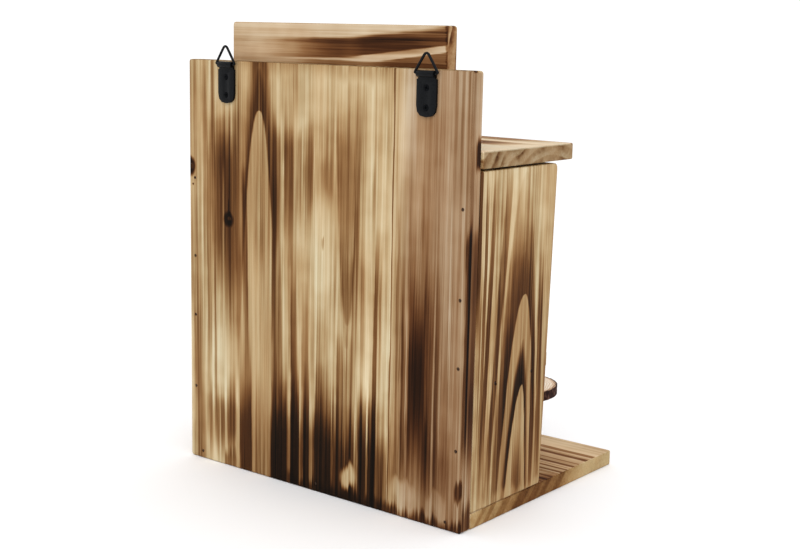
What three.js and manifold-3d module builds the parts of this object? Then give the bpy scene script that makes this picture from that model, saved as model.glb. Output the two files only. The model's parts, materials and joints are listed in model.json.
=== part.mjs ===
// Squirrel feeder box: a scorched-wood nut box on a tall back board, with a lid that tips up,
// a clear window, a bar counter, two log stools on the base board, a plain name board and two
// triangle-ring hangers. Lengths are millimetres. X runs across the feeder, the back board is
// on the +Y side and +Z is up. The origin is the middle of the base board's underside.
import * as THREE from "three";
import { mergeVertices } from "three/addons/utils/BufferGeometryUtils.js";
import Module from "manifold-3d";

const wasm = await Module();
wasm.setup();

// Fits
const GLUE_LINE = 0.2; // between pieces that are glued, nailed or screwed together
const RUNNING_GAP = 0.3; // between pieces that move on each other or slide apart
const HOLE_CLEARANCE = 0.15; // round a fastener in its hole, and past its point
const CUT_OVERRUN = 5; // how far a cut runs past the faces that it opens

// Boards
const BOARD_THICKNESS = 10;
const BOARD_ARRIS = 0.8; // rounding of each long edge
const BOARD_CORNER = 2; // rounding of each corner, seen square to the board
const BODY_WIDTH = 233;
const BACK_HEIGHT = 275;
const BASE_DEPTH = 170;
const SIDE_FOOT_DEPTH = 76.7;
const SIDE_TOP_DEPTH = 84;
const SIDE_NOSE_RADIUS = 4;

// Lid
const LID_DROP = 46; // of its top, under the back board's top
const LID_DEPTH = 100;
const LID_THICKNESS = 10.2;
const LID_END_OVERHANG = 1.1;
const LID_REST_GAP = 1.4; // shadow gap over the side panels
const LID_BACK_GAP = 0.6;

// Name board
const SIGN_INSET = 29; // from each side of the back board, before it is set off centre
const SIGN_HEIGHT = 40;
const SIGN_THICKNESS = 9.8;
const SIGN_LAP = 15; // over the front of the back board
const SIGN_OFF_CENTRE = -2.3;

// Bar counter, its front and the window over it
const COUNTER_TOP = 92.5; // above the floor
const COUNTER_THICKNESS = 9.8;
const COUNTER_REACH = 17.6; // past the side panels' front edges
const BAR_FRONT_THICKNESS = 10;
const BAR_FRONT_SETBACK = 3;
const PANE_THICKNESS = 2;
const PANE_SETBACK = 4;
const PANE_TOP_DROP = 3;
const GROOVE_DEPTH = 3;

// Stools
const STOOL_INSET = 56.5; // from the base board's ends to the stools' middles
const STOOL_SET_OUT = 47.3; // from the side panels' feet to the stools' middles
const SEAT_TOP = 58; // above the floor
const SEAT_THICKNESS = 6.5;
const SEAT_RADIUS = 32.5;
const POST_RADIUS = 11;
const SEAT_WAVE_SHARES = [0.012, 0.016, 0.009]; // of the radius, for 2, 3 and 5 waves a turn
const POST_WAVE_SHARES = [0.03, 0.02, 0.015];

// Lid hinges
const HINGE_INSET = 46.5; // from the box's sides to the hinges' middles
const HINGE_LENGTH = 26;
const LEAF_WIDTH = 11; // from the pin's axis to the leaf's free edge
const LEAF_THICKNESS = 1;
const LEAF_CORNER = 1.5;
const KNUCKLE_RADIUS = 2;
const HINGE_PIN_RADIUS = 1;
const HINGE_SCREW_SPACING = 16;
const HINGE_SCREW_OUT = 6.6; // from the pin's axis

// Hangers
const HANGER_INSET = 34.4; // from the back board's sides, before they are set off centre
const HANGER_OFF_CENTRE = -2.3;
const HANGER_PLATE_WIDTH = 14.4;
const HANGER_FOOT_ROUNDING_SHARE = 0.46; // of the plate's width
const HANGER_PLATE_FOOT_DROP = 27.6; // under the back board's top
const HANGER_AXIS_DROP = 2.6;
const HANGER_SHOULDER_DROP = 3; // under the ring's axis, where the plate narrows to its fold
const STRAP_THICKNESS = 0.8; // the plate is this strap folded double
const WIRE_RADIUS = 0.9;
const RING_BASE_OVERHANG = 1.7; // of the wire's corner past the plate's side
const RING_HEIGHT = 13.4;
const RING_CORNER = 1.2;
const RING_APEX_ROUND = 3.6;
const RING_END_GAP = 1.2; // between the wire's two ends, inside the fold
const HANGER_SCREW_DROP_HIGH = 10.7; // under the back board's top
const HANGER_SCREW_DROP_LOW = 22.2;

// Brads and screws
const SIDE_BRAD_SHARES = [0.196, 0.44, 0.638, 0.896]; // of the side panels' height, from the foot
const BASE_BRAD_INSET = 11.5; // from the boards' ends
const SIGN_BRAD_INSET = 17.5; // from the name board's ends
const COUNTER_BRAD_SHARES = [0.287, 0.81]; // of the side panels' depth, from the back board
const BASE_SCREW_SHARES = [0.21, 0.78];
const BRAD = {
  headRadius: 0.9, rimHeight: 0.7, coneHeight: 0, shankRadius: 0.6, length: 24, tipLength: 1.5,
};
const SIGN_BRAD = { ...BRAD, length: 16 };
const PANEL_SCREW = {
  headRadius: 3, rimHeight: 0.4, coneHeight: 1.8, shankRadius: 1.5, length: 26, tipLength: 3,
};
const STOOL_SCREW = { ...PANEL_SCREW, length: 32 };
const HINGE_SCREW = {
  headRadius: 1.9, rimHeight: 0.2, coneHeight: 1.1, shankRadius: 0.9, length: 8, tipLength: 1.6,
};
const HANGER_SCREW = { ...HINGE_SCREW, headRadius: 2, length: 8.6 };
const HEAD_SINK = 0.3; // of brads and panel screws, under the wood's face

// Fineness of the round forms
const CORNER_STEPS = 3;
const ARRIS_STEPS = 2;
const FASTENER_SIDES = 10;
const KNUCKLE_SIDES = 20;
const LOG_SIDES = 36;
const WIRE_SIDES = 8;
const WIRE_STEPS = 44;
const MERGE_DISTANCE = 1e-4;

// Heights and faces that several pieces share
const BACK_FACE = BASE_DEPTH / 2; // y of the back board's front face
const REAR_FACE = BACK_FACE + BOARD_THICKNESS;
const INNER_HALF = BODY_WIDTH / 2 - BOARD_THICKNESS;
const SIDE_FOOT = BOARD_THICKNESS + GLUE_LINE;
const LID_TOP = BACK_HEIGHT - LID_DROP;
const SIDE_TOP = LID_TOP - LID_THICKNESS - LID_REST_GAP;
const COUNTER_UNDERSIDE = COUNTER_TOP - COUNTER_THICKNESS;
const HINGE_OFFSET = KNUCKLE_RADIUS + GLUE_LINE; // of the pin from the lid and the back board
const SIGN_WIDTH = BODY_WIDTH - 2 * SIGN_INSET;
const RING_HALF_BASE = HANGER_PLATE_WIDTH / 2 + RING_BASE_OVERHANG;

// Finishes
const scorchedWood = new THREE.MeshStandardMaterial({ color: 0xb08a5c, roughness: 0.7 });
const counterWood = new THREE.MeshStandardMaterial({ color: 0x8d7350, roughness: 0.75 });
const logWood = new THREE.MeshStandardMaterial({ color: 0xd9c09a, roughness: 0.8 });
const barkWood = new THREE.MeshStandardMaterial({ color: 0x5a3425, roughness: 0.9 });
const blackSteel = new THREE.MeshStandardMaterial({
  color: 0x1d1e20, roughness: 0.45, metalness: 0.7,
});
const nailSteel = new THREE.MeshStandardMaterial({
  color: 0x4a4038, roughness: 0.5, metalness: 0.8,
});
const clearAcrylic = new THREE.MeshStandardMaterial({
  color: 0xeef4f4, roughness: 0.08, transparent: true, opacity: 0.3,
});

const X_AXIS = new THREE.Vector3(1, 0, 0);
const Y_AXIS = new THREE.Vector3(0, 1, 0);
const Z_AXIS = new THREE.Vector3(0, 0, 1);
const FORWARD = new THREE.Vector3(0, -1, 0);
const DOWN = new THREE.Vector3(0, 0, -1);

// The two directions of an outline's plane and the direction that its thickness takes.
const LYING = new THREE.Matrix4().makeBasis(X_AXIS, Y_AXIS, Z_AXIS);
const UPRIGHT = new THREE.Matrix4().makeBasis(X_AXIS, Z_AXIS, FORWARD);
const PROFILE = new THREE.Matrix4().makeBasis(FORWARD, Z_AXIS, X_AXIS.clone().negate());

// Turns a closed geometry into a solid that can be cut and joined.
function solidOf(geometry) {
  geometry.deleteAttribute("normal");
  geometry.deleteAttribute("uv");
  const merged = mergeVertices(geometry, MERGE_DISTANCE);
  const vertProperties = merged.attributes.position.array;
  const triVerts = new Uint32Array(merged.index.array);
  return new wasm.Manifold(new wasm.Mesh({ numProp: 3, vertProperties, triVerts }));
}

// Makes the named mesh of a solid, with the mesh's own origin at the given point.
function meshOf(name, solid, material, origin) {
  const { numProp, vertProperties, triVerts } = solid.getMesh();
  const geometry = new THREE.BufferGeometry();
  geometry.setAttribute("position", new THREE.BufferAttribute(vertProperties, numProp));
  geometry.setIndex(new THREE.BufferAttribute(triVerts, 1));
  geometry.translate(-origin.x, -origin.y, -origin.z);
  geometry.computeVertexNormals();
  const mesh = new THREE.Mesh(geometry, material);
  mesh.name = name;
  mesh.position.copy(origin);
  return mesh;
}

// Draws a closed outline through corners given as [u, v, rounding], counter-clockwise.
function outline(corners) {
  const shape = new THREE.Shape();
  corners.forEach(([u, v, rounding], index) => {
    const corner = new THREE.Vector2(u, v);
    const [lastU, lastV] = corners.at(index - 1);
    const [nextU, nextV] = corners[(index + 1) % corners.length];
    const into = new THREE.Vector2(lastU - u, lastV - v).setLength(rounding).add(corner);
    const out = new THREE.Vector2(nextU - u, nextV - v).setLength(rounding).add(corner);
    if (index === 0) shape.moveTo(into.x, into.y);
    else shape.lineTo(into.x, into.y);
    shape.quadraticCurveTo(corner.x, corner.y, out.x, out.y);
  });
  return shape;
}

// Draws a rectangle about its middle with alike rounded corners.
function rectangle(width, height, rounding) {
  return outline([
    [-width / 2, -height / 2, rounding],
    [width / 2, -height / 2, rounding],
    [width / 2, height / 2, rounding],
    [-width / 2, height / 2, rounding],
  ]);
}

// Thickens an outline evenly to both sides of its plane, rounds its arrises and seats it.
function slab(shape, thickness, arris, plane, middle) {
  const geometry = new THREE.ExtrudeGeometry(shape, {
    depth: thickness - 2 * arris,
    bevelEnabled: arris > 0,
    bevelThickness: arris,
    bevelSize: arris,
    bevelOffset: -arris,
    bevelSegments: ARRIS_STEPS,
    curveSegments: CORNER_STEPS,
  });
  geometry.translate(0, 0, arris - thickness / 2);
  geometry.applyMatrix4(plane);
  geometry.translate(middle.x, middle.y, middle.z);
  return solidOf(geometry);
}

// A sharp block between two opposite corners, for cuts.
function block(low, high) {
  const size = high.clone().sub(low);
  const geometry = new THREE.BoxGeometry(size.x, size.y, size.z);
  geometry.translate((low.x + high.x) / 2, (low.y + high.y) / 2, (low.z + high.z) / 2);
  return solidOf(geometry);
}

// A round bar along X about the given middle.
function barAcross(radius, length, sides, middle) {
  const geometry = new THREE.CylinderGeometry(radius, radius, length, sides);
  geometry.rotateZ(-Math.PI / 2);
  geometry.translate(middle.x, middle.y, middle.z);
  return solidOf(geometry);
}

// A nail or screw, or the hole for one when given a clearance, with its head's top at a point.
function fastenerSolid({ kind, head, into }, clearance = 0, overrun = 0) {
  const { headRadius, rimHeight, coneHeight, shankRadius, length, tipLength } = kind;
  const points = [
    [0, -length - clearance],
    [shankRadius + clearance, tipLength - length],
    [shankRadius + clearance, -rimHeight - coneHeight - clearance],
    [headRadius + clearance, -rimHeight - clearance],
    [headRadius + clearance, overrun],
    [0, overrun],
  ].map(([radius, height]) => new THREE.Vector2(radius, height));
  const geometry = new THREE.LatheGeometry(points, FASTENER_SIDES);
  const turn = new THREE.Quaternion().setFromUnitVectors(Y_AXIS, into.clone().negate());
  geometry.applyQuaternion(turn);
  geometry.translate(head.x, head.y, head.z);
  return solidOf(geometry);
}

// Cuts the holes for every fastener in the lists out of a solid.
function drilled(solid, ...lists) {
  return lists.flat().reduce(
    (left, fastener) => left.subtract(fastenerSolid(fastener, HOLE_CLEARANCE, CUT_OVERRUN)),
    solid,
  );
}

// The named meshes of a list of fasteners.
function fastenerMeshes(list, material) {
  return list.map((fastener) =>
    meshOf(fastener.name, fastenerSolid(fastener), material, fastener.head),
  );
}

// y of a point in front of the back board.
function forward(depth) {
  return BACK_FACE - depth;
}

// How far in front of the back board the side panels' front edge stands at a height.
function frontEdgeDepth(height) {
  const lean = (SIDE_TOP_DEPTH - SIDE_FOOT_DEPTH) / (SIDE_TOP - SIDE_FOOT);
  return SIDE_FOOT_DEPTH + (height - SIDE_FOOT) * lean;
}

// A strip in profile that keeps its distance to the side panels' front edge.
function leaningStrip(setback, thickness, foot, top) {
  return new THREE.Shape(
    [
      [setback + thickness, foot],
      [setback, foot],
      [setback, top],
      [setback + thickness, top],
    ].map(([back, height]) => new THREE.Vector2(frontEdgeDepth(height) - back, height)),
  );
}

// Left is the side towards +X, seen from behind, where the hangers are.
const SIDES = [
  { label: "left", sign: 1 },
  { label: "right", sign: -1 },
];

const sideMiddleX = (BODY_WIDTH - BOARD_THICKNESS) / 2;
const point = (x, y, z) => new THREE.Vector3(x, y, z);

// Fasteners: where each head's top is and which way it points
const sideBrads = SIDES.flatMap(({ label, sign }) =>
  SIDE_BRAD_SHARES.map((share, index) => ({
    name: `${label}_side_brad_${index + 1}`,
    kind: BRAD,
    head: point(
      sign * sideMiddleX,
      REAR_FACE - HEAD_SINK,
      SIDE_FOOT + share * (SIDE_TOP - SIDE_FOOT),
    ),
    into: FORWARD,
  })),
);
const baseBrads = [1, 0, -1].map((place, index) => ({
  name: `base_brad_${index + 1}`,
  kind: BRAD,
  head: point(
    place * (BODY_WIDTH / 2 - BASE_BRAD_INSET),
    REAR_FACE - HEAD_SINK,
    BOARD_THICKNESS / 2,
  ),
  into: FORWARD,
}));
const signBrads = SIDES.map(({ label, sign }) => ({
  name: `${label}_sign_brad`,
  kind: SIGN_BRAD,
  head: point(
    SIGN_OFF_CENTRE + sign * (SIGN_WIDTH / 2 - SIGN_BRAD_INSET),
    forward(GLUE_LINE + SIGN_THICKNESS - HEAD_SINK),
    BACK_HEIGHT - SIGN_LAP / 2,
  ),
  into: Y_AXIS,
}));
const counterBrads = SIDES.flatMap(({ label, sign }) =>
  COUNTER_BRAD_SHARES.map((share, index) => ({
    name: `${label}_counter_brad_${index + 1}`,
    kind: BRAD,
    head: point(
      sign * (BODY_WIDTH / 2 - HEAD_SINK),
      forward(share * SIDE_FOOT_DEPTH),
      COUNTER_TOP - COUNTER_THICKNESS / 2,
    ),
    into: X_AXIS.clone().multiplyScalar(-sign),
  })),
);
const panelScrews = SIDES.flatMap(({ label, sign }) =>
  BASE_SCREW_SHARES.map((share, index) => ({
    name: `${label}_base_screw_${index + 1}`,
    kind: PANEL_SCREW,
    head: point(sign * sideMiddleX, forward(share * SIDE_FOOT_DEPTH), HEAD_SINK),
    into: Z_AXIS,
  })),
);
const stoolX = (sign) => sign * (BODY_WIDTH / 2 - STOOL_INSET);
const stoolY = forward(SIDE_FOOT_DEPTH + STOOL_SET_OUT);
const stoolScrews = SIDES.map(({ label, sign }) => ({
  name: `${label}_stool_screw`,
  kind: STOOL_SCREW,
  head: point(stoolX(sign), stoolY, HEAD_SINK),
  into: Z_AXIS,
}));
const hingeX = (sign) => sign * (BODY_WIDTH / 2 - HINGE_INSET);
const leafScrewSpots = SIDES.flatMap(({ label, sign }) =>
  [-1, 1].map((place, index) => ({
    label: `${label}_hinge`,
    index: index + 1,
    x: hingeX(sign) + (place * HINGE_SCREW_SPACING) / 2,
  })),
);
const leafFace = GLUE_LINE + LEAF_THICKNESS; // of a seated leaf, from the wood
const lidLeafScrews = leafScrewSpots.map(({ label, index, x }) => ({
  name: `${label}_lid_screw_${index}`,
  kind: HINGE_SCREW,
  head: point(x, forward(HINGE_OFFSET + HINGE_SCREW_OUT), LID_TOP + leafFace),
  into: DOWN,
}));
const boardLeafScrews = leafScrewSpots.map(({ label, index, x }) => ({
  name: `${label}_board_screw_${index}`,
  kind: HINGE_SCREW,
  head: point(x, forward(leafFace), LID_TOP + HINGE_OFFSET + HINGE_SCREW_OUT),
  into: Y_AXIS,
}));
const plateFace = GLUE_LINE + 2 * STRAP_THICKNESS; // of a seated hanger plate, from the wood
const hangerX = (sign) => HANGER_OFF_CENTRE + sign * (BODY_WIDTH / 2 - HANGER_INSET);
const hangerScrews = SIDES.flatMap(({ label, sign }) =>
  [HANGER_SCREW_DROP_HIGH, HANGER_SCREW_DROP_LOW].map((drop, index) => ({
    name: `${label}_hanger_screw_${index + 1}`,
    kind: HANGER_SCREW,
    head: point(hangerX(sign), REAR_FACE + plateFace, BACK_HEIGHT - drop),
    into: FORWARD,
  })),
);

function backBoard() {
  const middle = point(0, BACK_FACE + BOARD_THICKNESS / 2, BACK_HEIGHT / 2);
  const shape = rectangle(BODY_WIDTH, BACK_HEIGHT, BOARD_CORNER);
  const solid = slab(shape, BOARD_THICKNESS, BOARD_ARRIS, UPRIGHT, middle);
  const cut = drilled(solid, sideBrads, baseBrads, signBrads, boardLeafScrews, hangerScrews);
  return meshOf("back_board", cut, scorchedWood, middle);
}

function signBoard() {
  const middle = point(
    SIGN_OFF_CENTRE,
    forward(GLUE_LINE + SIGN_THICKNESS / 2),
    BACK_HEIGHT - SIGN_LAP + SIGN_HEIGHT / 2,
  );
  const shape = rectangle(SIGN_WIDTH, SIGN_HEIGHT, BOARD_CORNER);
  const solid = slab(shape, SIGN_THICKNESS, BOARD_ARRIS, UPRIGHT, middle);
  return meshOf("sign_board", drilled(solid, signBrads), scorchedWood, middle);
}

function baseBoard() {
  const middle = point(0, -GLUE_LINE / 2, BOARD_THICKNESS / 2);
  const shape = rectangle(BODY_WIDTH, BASE_DEPTH - GLUE_LINE, BOARD_CORNER);
  const solid = slab(shape, BOARD_THICKNESS, BOARD_ARRIS, LYING, middle);
  const cut = drilled(solid, baseBrads, panelScrews, stoolScrews);
  return meshOf("base_board", cut, scorchedWood, middle);
}

// The groove runs out through the panel's top, so that the pane slides in from above.
function sidePanel({ label, sign }) {
  const middle = point(sign * sideMiddleX, BACK_FACE, 0);
  const shape = outline([
    [GLUE_LINE, SIDE_FOOT, BOARD_CORNER],
    [SIDE_FOOT_DEPTH, SIDE_FOOT, BOARD_CORNER],
    [SIDE_TOP_DEPTH, SIDE_TOP, SIDE_NOSE_RADIUS],
    [GLUE_LINE, SIDE_TOP, BOARD_CORNER],
  ]);
  const solid = slab(shape, BOARD_THICKNESS, BOARD_ARRIS, PROFILE, middle);
  const grooveShape = leaningStrip(
    PANE_SETBACK - RUNNING_GAP,
    PANE_THICKNESS + 2 * RUNNING_GAP,
    COUNTER_TOP,
    SIDE_TOP + CUT_OVERRUN,
  );
  const grooveMiddle = point(sign * INNER_HALF, BACK_FACE, 0);
  const groove = slab(grooveShape, 2 * GROOVE_DEPTH, 0, PROFILE, grooveMiddle);
  const cut = drilled(solid.subtract(groove), sideBrads, counterBrads, panelScrews);
  return meshOf(`${label}_side_panel`, cut, scorchedWood, middle);
}

function barFront() {
  const middle = point(0, BACK_FACE, 0);
  const shape = leaningStrip(
    BAR_FRONT_SETBACK, BAR_FRONT_THICKNESS, SIDE_FOOT, COUNTER_UNDERSIDE - GLUE_LINE,
  );
  const solid = slab(shape, 2 * (INNER_HALF - GLUE_LINE), 0, PROFILE, middle);
  return meshOf("bar_front", solid, scorchedWood, middle);
}

// The counter runs from the back board, under the window, out past the front of the box.
function barCounter() {
  const reach = frontEdgeDepth(COUNTER_TOP) + COUNTER_REACH - GLUE_LINE;
  const middle = point(0, forward(GLUE_LINE + reach / 2), COUNTER_TOP - COUNTER_THICKNESS / 2);
  const shape = rectangle(2 * (INNER_HALF - GLUE_LINE), reach, BOARD_CORNER);
  const solid = slab(shape, COUNTER_THICKNESS, BOARD_ARRIS, LYING, middle);
  return meshOf("bar_counter", drilled(solid, counterBrads), counterWood, middle);
}

function windowPane() {
  const middle = point(0, BACK_FACE, 0);
  const shape = leaningStrip(
    PANE_SETBACK, PANE_THICKNESS, COUNTER_TOP + RUNNING_GAP, SIDE_TOP - PANE_TOP_DROP,
  );
  const width = 2 * (INNER_HALF + GROOVE_DEPTH - RUNNING_GAP);
  return meshOf("window_pane", slab(shape, width, 0, PROFILE, middle), clearAcrylic, middle);
}

function lid() {
  const depth = LID_DEPTH - LID_BACK_GAP;
  const middle = point(0, forward(LID_BACK_GAP + depth / 2), LID_TOP - LID_THICKNESS / 2);
  const shape = rectangle(BODY_WIDTH + 2 * LID_END_OVERHANG, depth, BOARD_CORNER);
  const solid = slab(shape, LID_THICKNESS, BOARD_ARRIS, LYING, middle);
  return meshOf("lid", drilled(solid, lidLeafScrews), scorchedWood, middle);
}

// An outline that goes round a log: a circle with a few slow waves.
function logOutline(radius, waveShares, turn) {
  const points = Array.from({ length: LOG_SIDES }, (_, step) => {
    const angle = (2 * Math.PI * step) / LOG_SIDES;
    const [two, three, five] = waveShares;
    const wave =
      two * Math.cos(2 * angle + turn) +
      three * Math.cos(3 * angle - turn) +
      five * Math.cos(5 * angle + 2 * turn);
    return new THREE.Vector2(Math.cos(angle), Math.sin(angle)).multiplyScalar(radius * (1 + wave));
  });
  return new THREE.Shape(points);
}

// A stool: a slice of a log on an upright piece of branch, screwed through the base board.
function stool({ label, sign }) {
  const x = stoolX(sign);
  const seatFoot = SEAT_TOP - SEAT_THICKNESS;
  const postFoot = BOARD_THICKNESS + GLUE_LINE;
  const postHeight = seatFoot - GLUE_LINE - postFoot;
  const seatMiddle = point(x, stoolY, SEAT_TOP - SEAT_THICKNESS / 2);
  const seat = slab(
    logOutline(SEAT_RADIUS, SEAT_WAVE_SHARES, sign), SEAT_THICKNESS, 0, LYING, seatMiddle,
  );
  const postMiddle = point(x, stoolY, postFoot + postHeight / 2);
  const post = slab(
    logOutline(POST_RADIUS, POST_WAVE_SHARES, sign), postHeight, 0, LYING, postMiddle,
  );
  return [
    meshOf(`${label}_stool_seat`, seat, logWood, seatMiddle),
    meshOf(`${label}_stool_post`, drilled(post, stoolScrews), barkWood, postMiddle),
  ];
}

// A butt hinge. The lid's leaf holds the middle knuckle, the board's leaf the outer two and
// the pin. Each leaf is a plate that runs out of its knuckle's side.
function hinge({ label, sign }) {
  const axis = point(hingeX(sign), forward(HINGE_OFFSET), LID_TOP + HINGE_OFFSET);
  const third = HINGE_LENGTH / 3;
  const barrel = barAcross(KNUCKLE_RADIUS, HINGE_LENGTH, KNUCKLE_SIDES, axis);
  const boreLength = HINGE_LENGTH + 2 * CUT_OVERRUN;
  const bore = barAcross(HINGE_PIN_RADIUS + RUNNING_GAP, boreLength, KNUCKLE_SIDES, axis);
  const clear = KNUCKLE_RADIUS + RUNNING_GAP;
  const room = (from, to) =>
    block(
      point(axis.x + from, axis.y - clear, axis.z - clear),
      point(axis.x + to, axis.y + clear, axis.z + clear),
    );
  const outerRooms = room(-HINGE_LENGTH, RUNNING_GAP / 2 - third / 2).add(
    room(third / 2 - RUNNING_GAP / 2, HINGE_LENGTH),
  );
  const innerRoom = room(-third / 2 - RUNNING_GAP / 2, third / 2 + RUNNING_GAP / 2);

  const plate = rectangle(HINGE_LENGTH, LEAF_WIDTH, LEAF_CORNER);
  const plateOffset = KNUCKLE_RADIUS - LEAF_THICKNESS / 2;
  const lidPlate = slab(
    plate, LEAF_THICKNESS, 0, LYING, point(axis.x, axis.y - LEAF_WIDTH / 2, axis.z - plateOffset),
  );
  const boardPlate = slab(
    plate, LEAF_THICKNESS, 0, UPRIGHT, point(axis.x, axis.y + plateOffset, axis.z + LEAF_WIDTH / 2),
  );
  const lidLeaf = drilled(
    lidPlate.add(barrel).subtract(outerRooms).subtract(bore), lidLeafScrews,
  );
  const boardLeaf = drilled(
    boardPlate.add(barrel).subtract(innerRoom).subtract(bore), boardLeafScrews,
  );
  const pin = barAcross(HINGE_PIN_RADIUS, HINGE_LENGTH, KNUCKLE_SIDES, axis);
  return {
    moving: meshOf(`${label}_hinge_lid_leaf`, lidLeaf, blackSteel, axis),
    fixed: [
      meshOf(`${label}_hinge_board_leaf`, boardLeaf, blackSteel, axis),
      meshOf(`${label}_hinge_pin`, pin, blackSteel, axis),
    ],
  };
}

// Middle of the wire's straight base in the fold of a hanger plate.
function hangerAxis(sign) {
  const out = GLUE_LINE + STRAP_THICKNESS + WIRE_RADIUS + RUNNING_GAP;
  return point(hangerX(sign), REAR_FACE + out, BACK_HEIGHT - HANGER_AXIS_DROP);
}

// Half the width of the fold that just clears the ring's arms, which lean in over it.
function foldHalfWidth(foldRadius) {
  const armMiddle = RING_HALF_BASE * (1 - foldRadius / RING_HEIGHT);
  const armHalf = (WIRE_RADIUS * Math.hypot(RING_HALF_BASE, RING_HEIGHT)) / RING_HEIGHT;
  return armMiddle - armHalf - RUNNING_GAP;
}

// A strap folded double over the ring's base, with a round foot and two screws.
function hangerPlate({ label, sign }) {
  const axis = hangerAxis(sign);
  const foot = BACK_HEIGHT - HANGER_PLATE_FOOT_DROP - axis.z;
  const foldRadius = WIRE_RADIUS + RUNNING_GAP + STRAP_THICKNESS;
  const foldHalf = foldHalfWidth(foldRadius);
  const half = HANGER_PLATE_WIDTH / 2;
  const footRounding = HANGER_FOOT_ROUNDING_SHARE * HANGER_PLATE_WIDTH;
  const shape = outline([
    [-half, foot, footRounding],
    [half, foot, footRounding],
    [half, -HANGER_SHOULDER_DROP, STRAP_THICKNESS / 2],
    [foldHalf, -HANGER_SHOULDER_DROP, STRAP_THICKNESS / 2],
    [foldHalf, 0, STRAP_THICKNESS / 2],
    [-foldHalf, 0, STRAP_THICKNESS / 2],
    [-foldHalf, -HANGER_SHOULDER_DROP, STRAP_THICKNESS / 2],
    [-half, -HANGER_SHOULDER_DROP, STRAP_THICKNESS / 2],
  ]);
  const seat = point(axis.x, REAR_FACE + GLUE_LINE + STRAP_THICKNESS, axis.z);
  const plate = slab(shape, 2 * STRAP_THICKNESS, 0, UPRIGHT, seat);
  const fold = barAcross(foldRadius, 2 * foldHalf, KNUCKLE_SIDES, axis);
  const boreLength = HANGER_PLATE_WIDTH + 2 * CUT_OVERRUN;
  const bore = barAcross(WIRE_RADIUS + RUNNING_GAP, boreLength, KNUCKLE_SIDES, axis);
  const solid = drilled(plate.add(fold).subtract(bore), hangerScrews);
  return meshOf(`${label}_hanger_plate`, solid, blackSteel, axis);
}

// The middle line of a ring's wire, from one end in the fold round the triangle to the other.
function ringPath() {
  const start = point(RING_END_GAP / 2, 0, 0);
  const nearCorner = point(RING_HALF_BASE, 0, 0);
  const apex = point(0, 0, RING_HEIGHT);
  const farCorner = point(-RING_HALF_BASE, 0, 0);
  const end = point(-RING_END_GAP / 2, 0, 0);
  const towards = (from, to, distance) => to.clone().sub(from).setLength(distance).add(from);
  const bends = [
    [start, nearCorner, apex, RING_CORNER],
    [nearCorner, apex, farCorner, RING_APEX_ROUND],
    [apex, farCorner, end, RING_CORNER],
  ];
  const path = new THREE.CurvePath();
  let from = start;
  bends.forEach(([before, corner, after, rounding]) => {
    const into = towards(corner, before, rounding);
    const out = towards(corner, after, rounding);
    path.add(new THREE.LineCurve3(from, into));
    path.add(new THREE.QuadraticBezierCurve3(into, corner, out));
    from = out;
  });
  path.add(new THREE.LineCurve3(from, end));
  return path;
}

function hangerRing({ label, sign }) {
  const section = new THREE.Shape();
  section.absarc(0, 0, WIRE_RADIUS, 0, 2 * Math.PI);
  const geometry = new THREE.ExtrudeGeometry(section, {
    steps: WIRE_STEPS,
    curveSegments: WIRE_SIDES / 2,
    extrudePath: ringPath(),
  });
  const axis = hangerAxis(sign);
  geometry.translate(axis.x, axis.y, axis.z);
  return meshOf(`${label}_hanger_ring`, solidOf(geometry), blackSteel, axis);
}

const hinges = SIDES.map(hinge);

const frame = new THREE.Group();
frame.add(
  backBoard(),
  signBoard(),
  baseBoard(),
  ...SIDES.map(sidePanel),
  barFront(),
  barCounter(),
  windowPane(),
  ...SIDES.flatMap(stool),
  ...hinges.flatMap(({ fixed }) => fixed),
  ...SIDES.map(hangerPlate),
  ...fastenerMeshes([sideBrads, baseBrads, signBrads, counterBrads].flat(), nailSteel),
  ...fastenerMeshes([panelScrews, stoolScrews].flat(), nailSteel),
  ...fastenerMeshes([boardLeafScrews, hangerScrews].flat(), blackSteel),
);

const tippingLid = new THREE.Group();
tippingLid.add(
  lid(),
  ...hinges.map(({ moving }) => moving),
  ...fastenerMeshes(lidLeafScrews, blackSteel),
);

const feeder = new THREE.Group();
feeder.add(frame, tippingLid, ...SIDES.map(hangerRing));

export default feeder;
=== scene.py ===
"""Looks of the squirrel feeder box: torched pine boards, log stools, black steel and a clear pane."""

import json
import logging
import math
from collections.abc import Callable, Iterator, Sequence
from contextlib import contextmanager
from dataclasses import dataclass, field, replace
from enum import Enum

import bpy
from mathutils import Matrix, Vector

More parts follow.
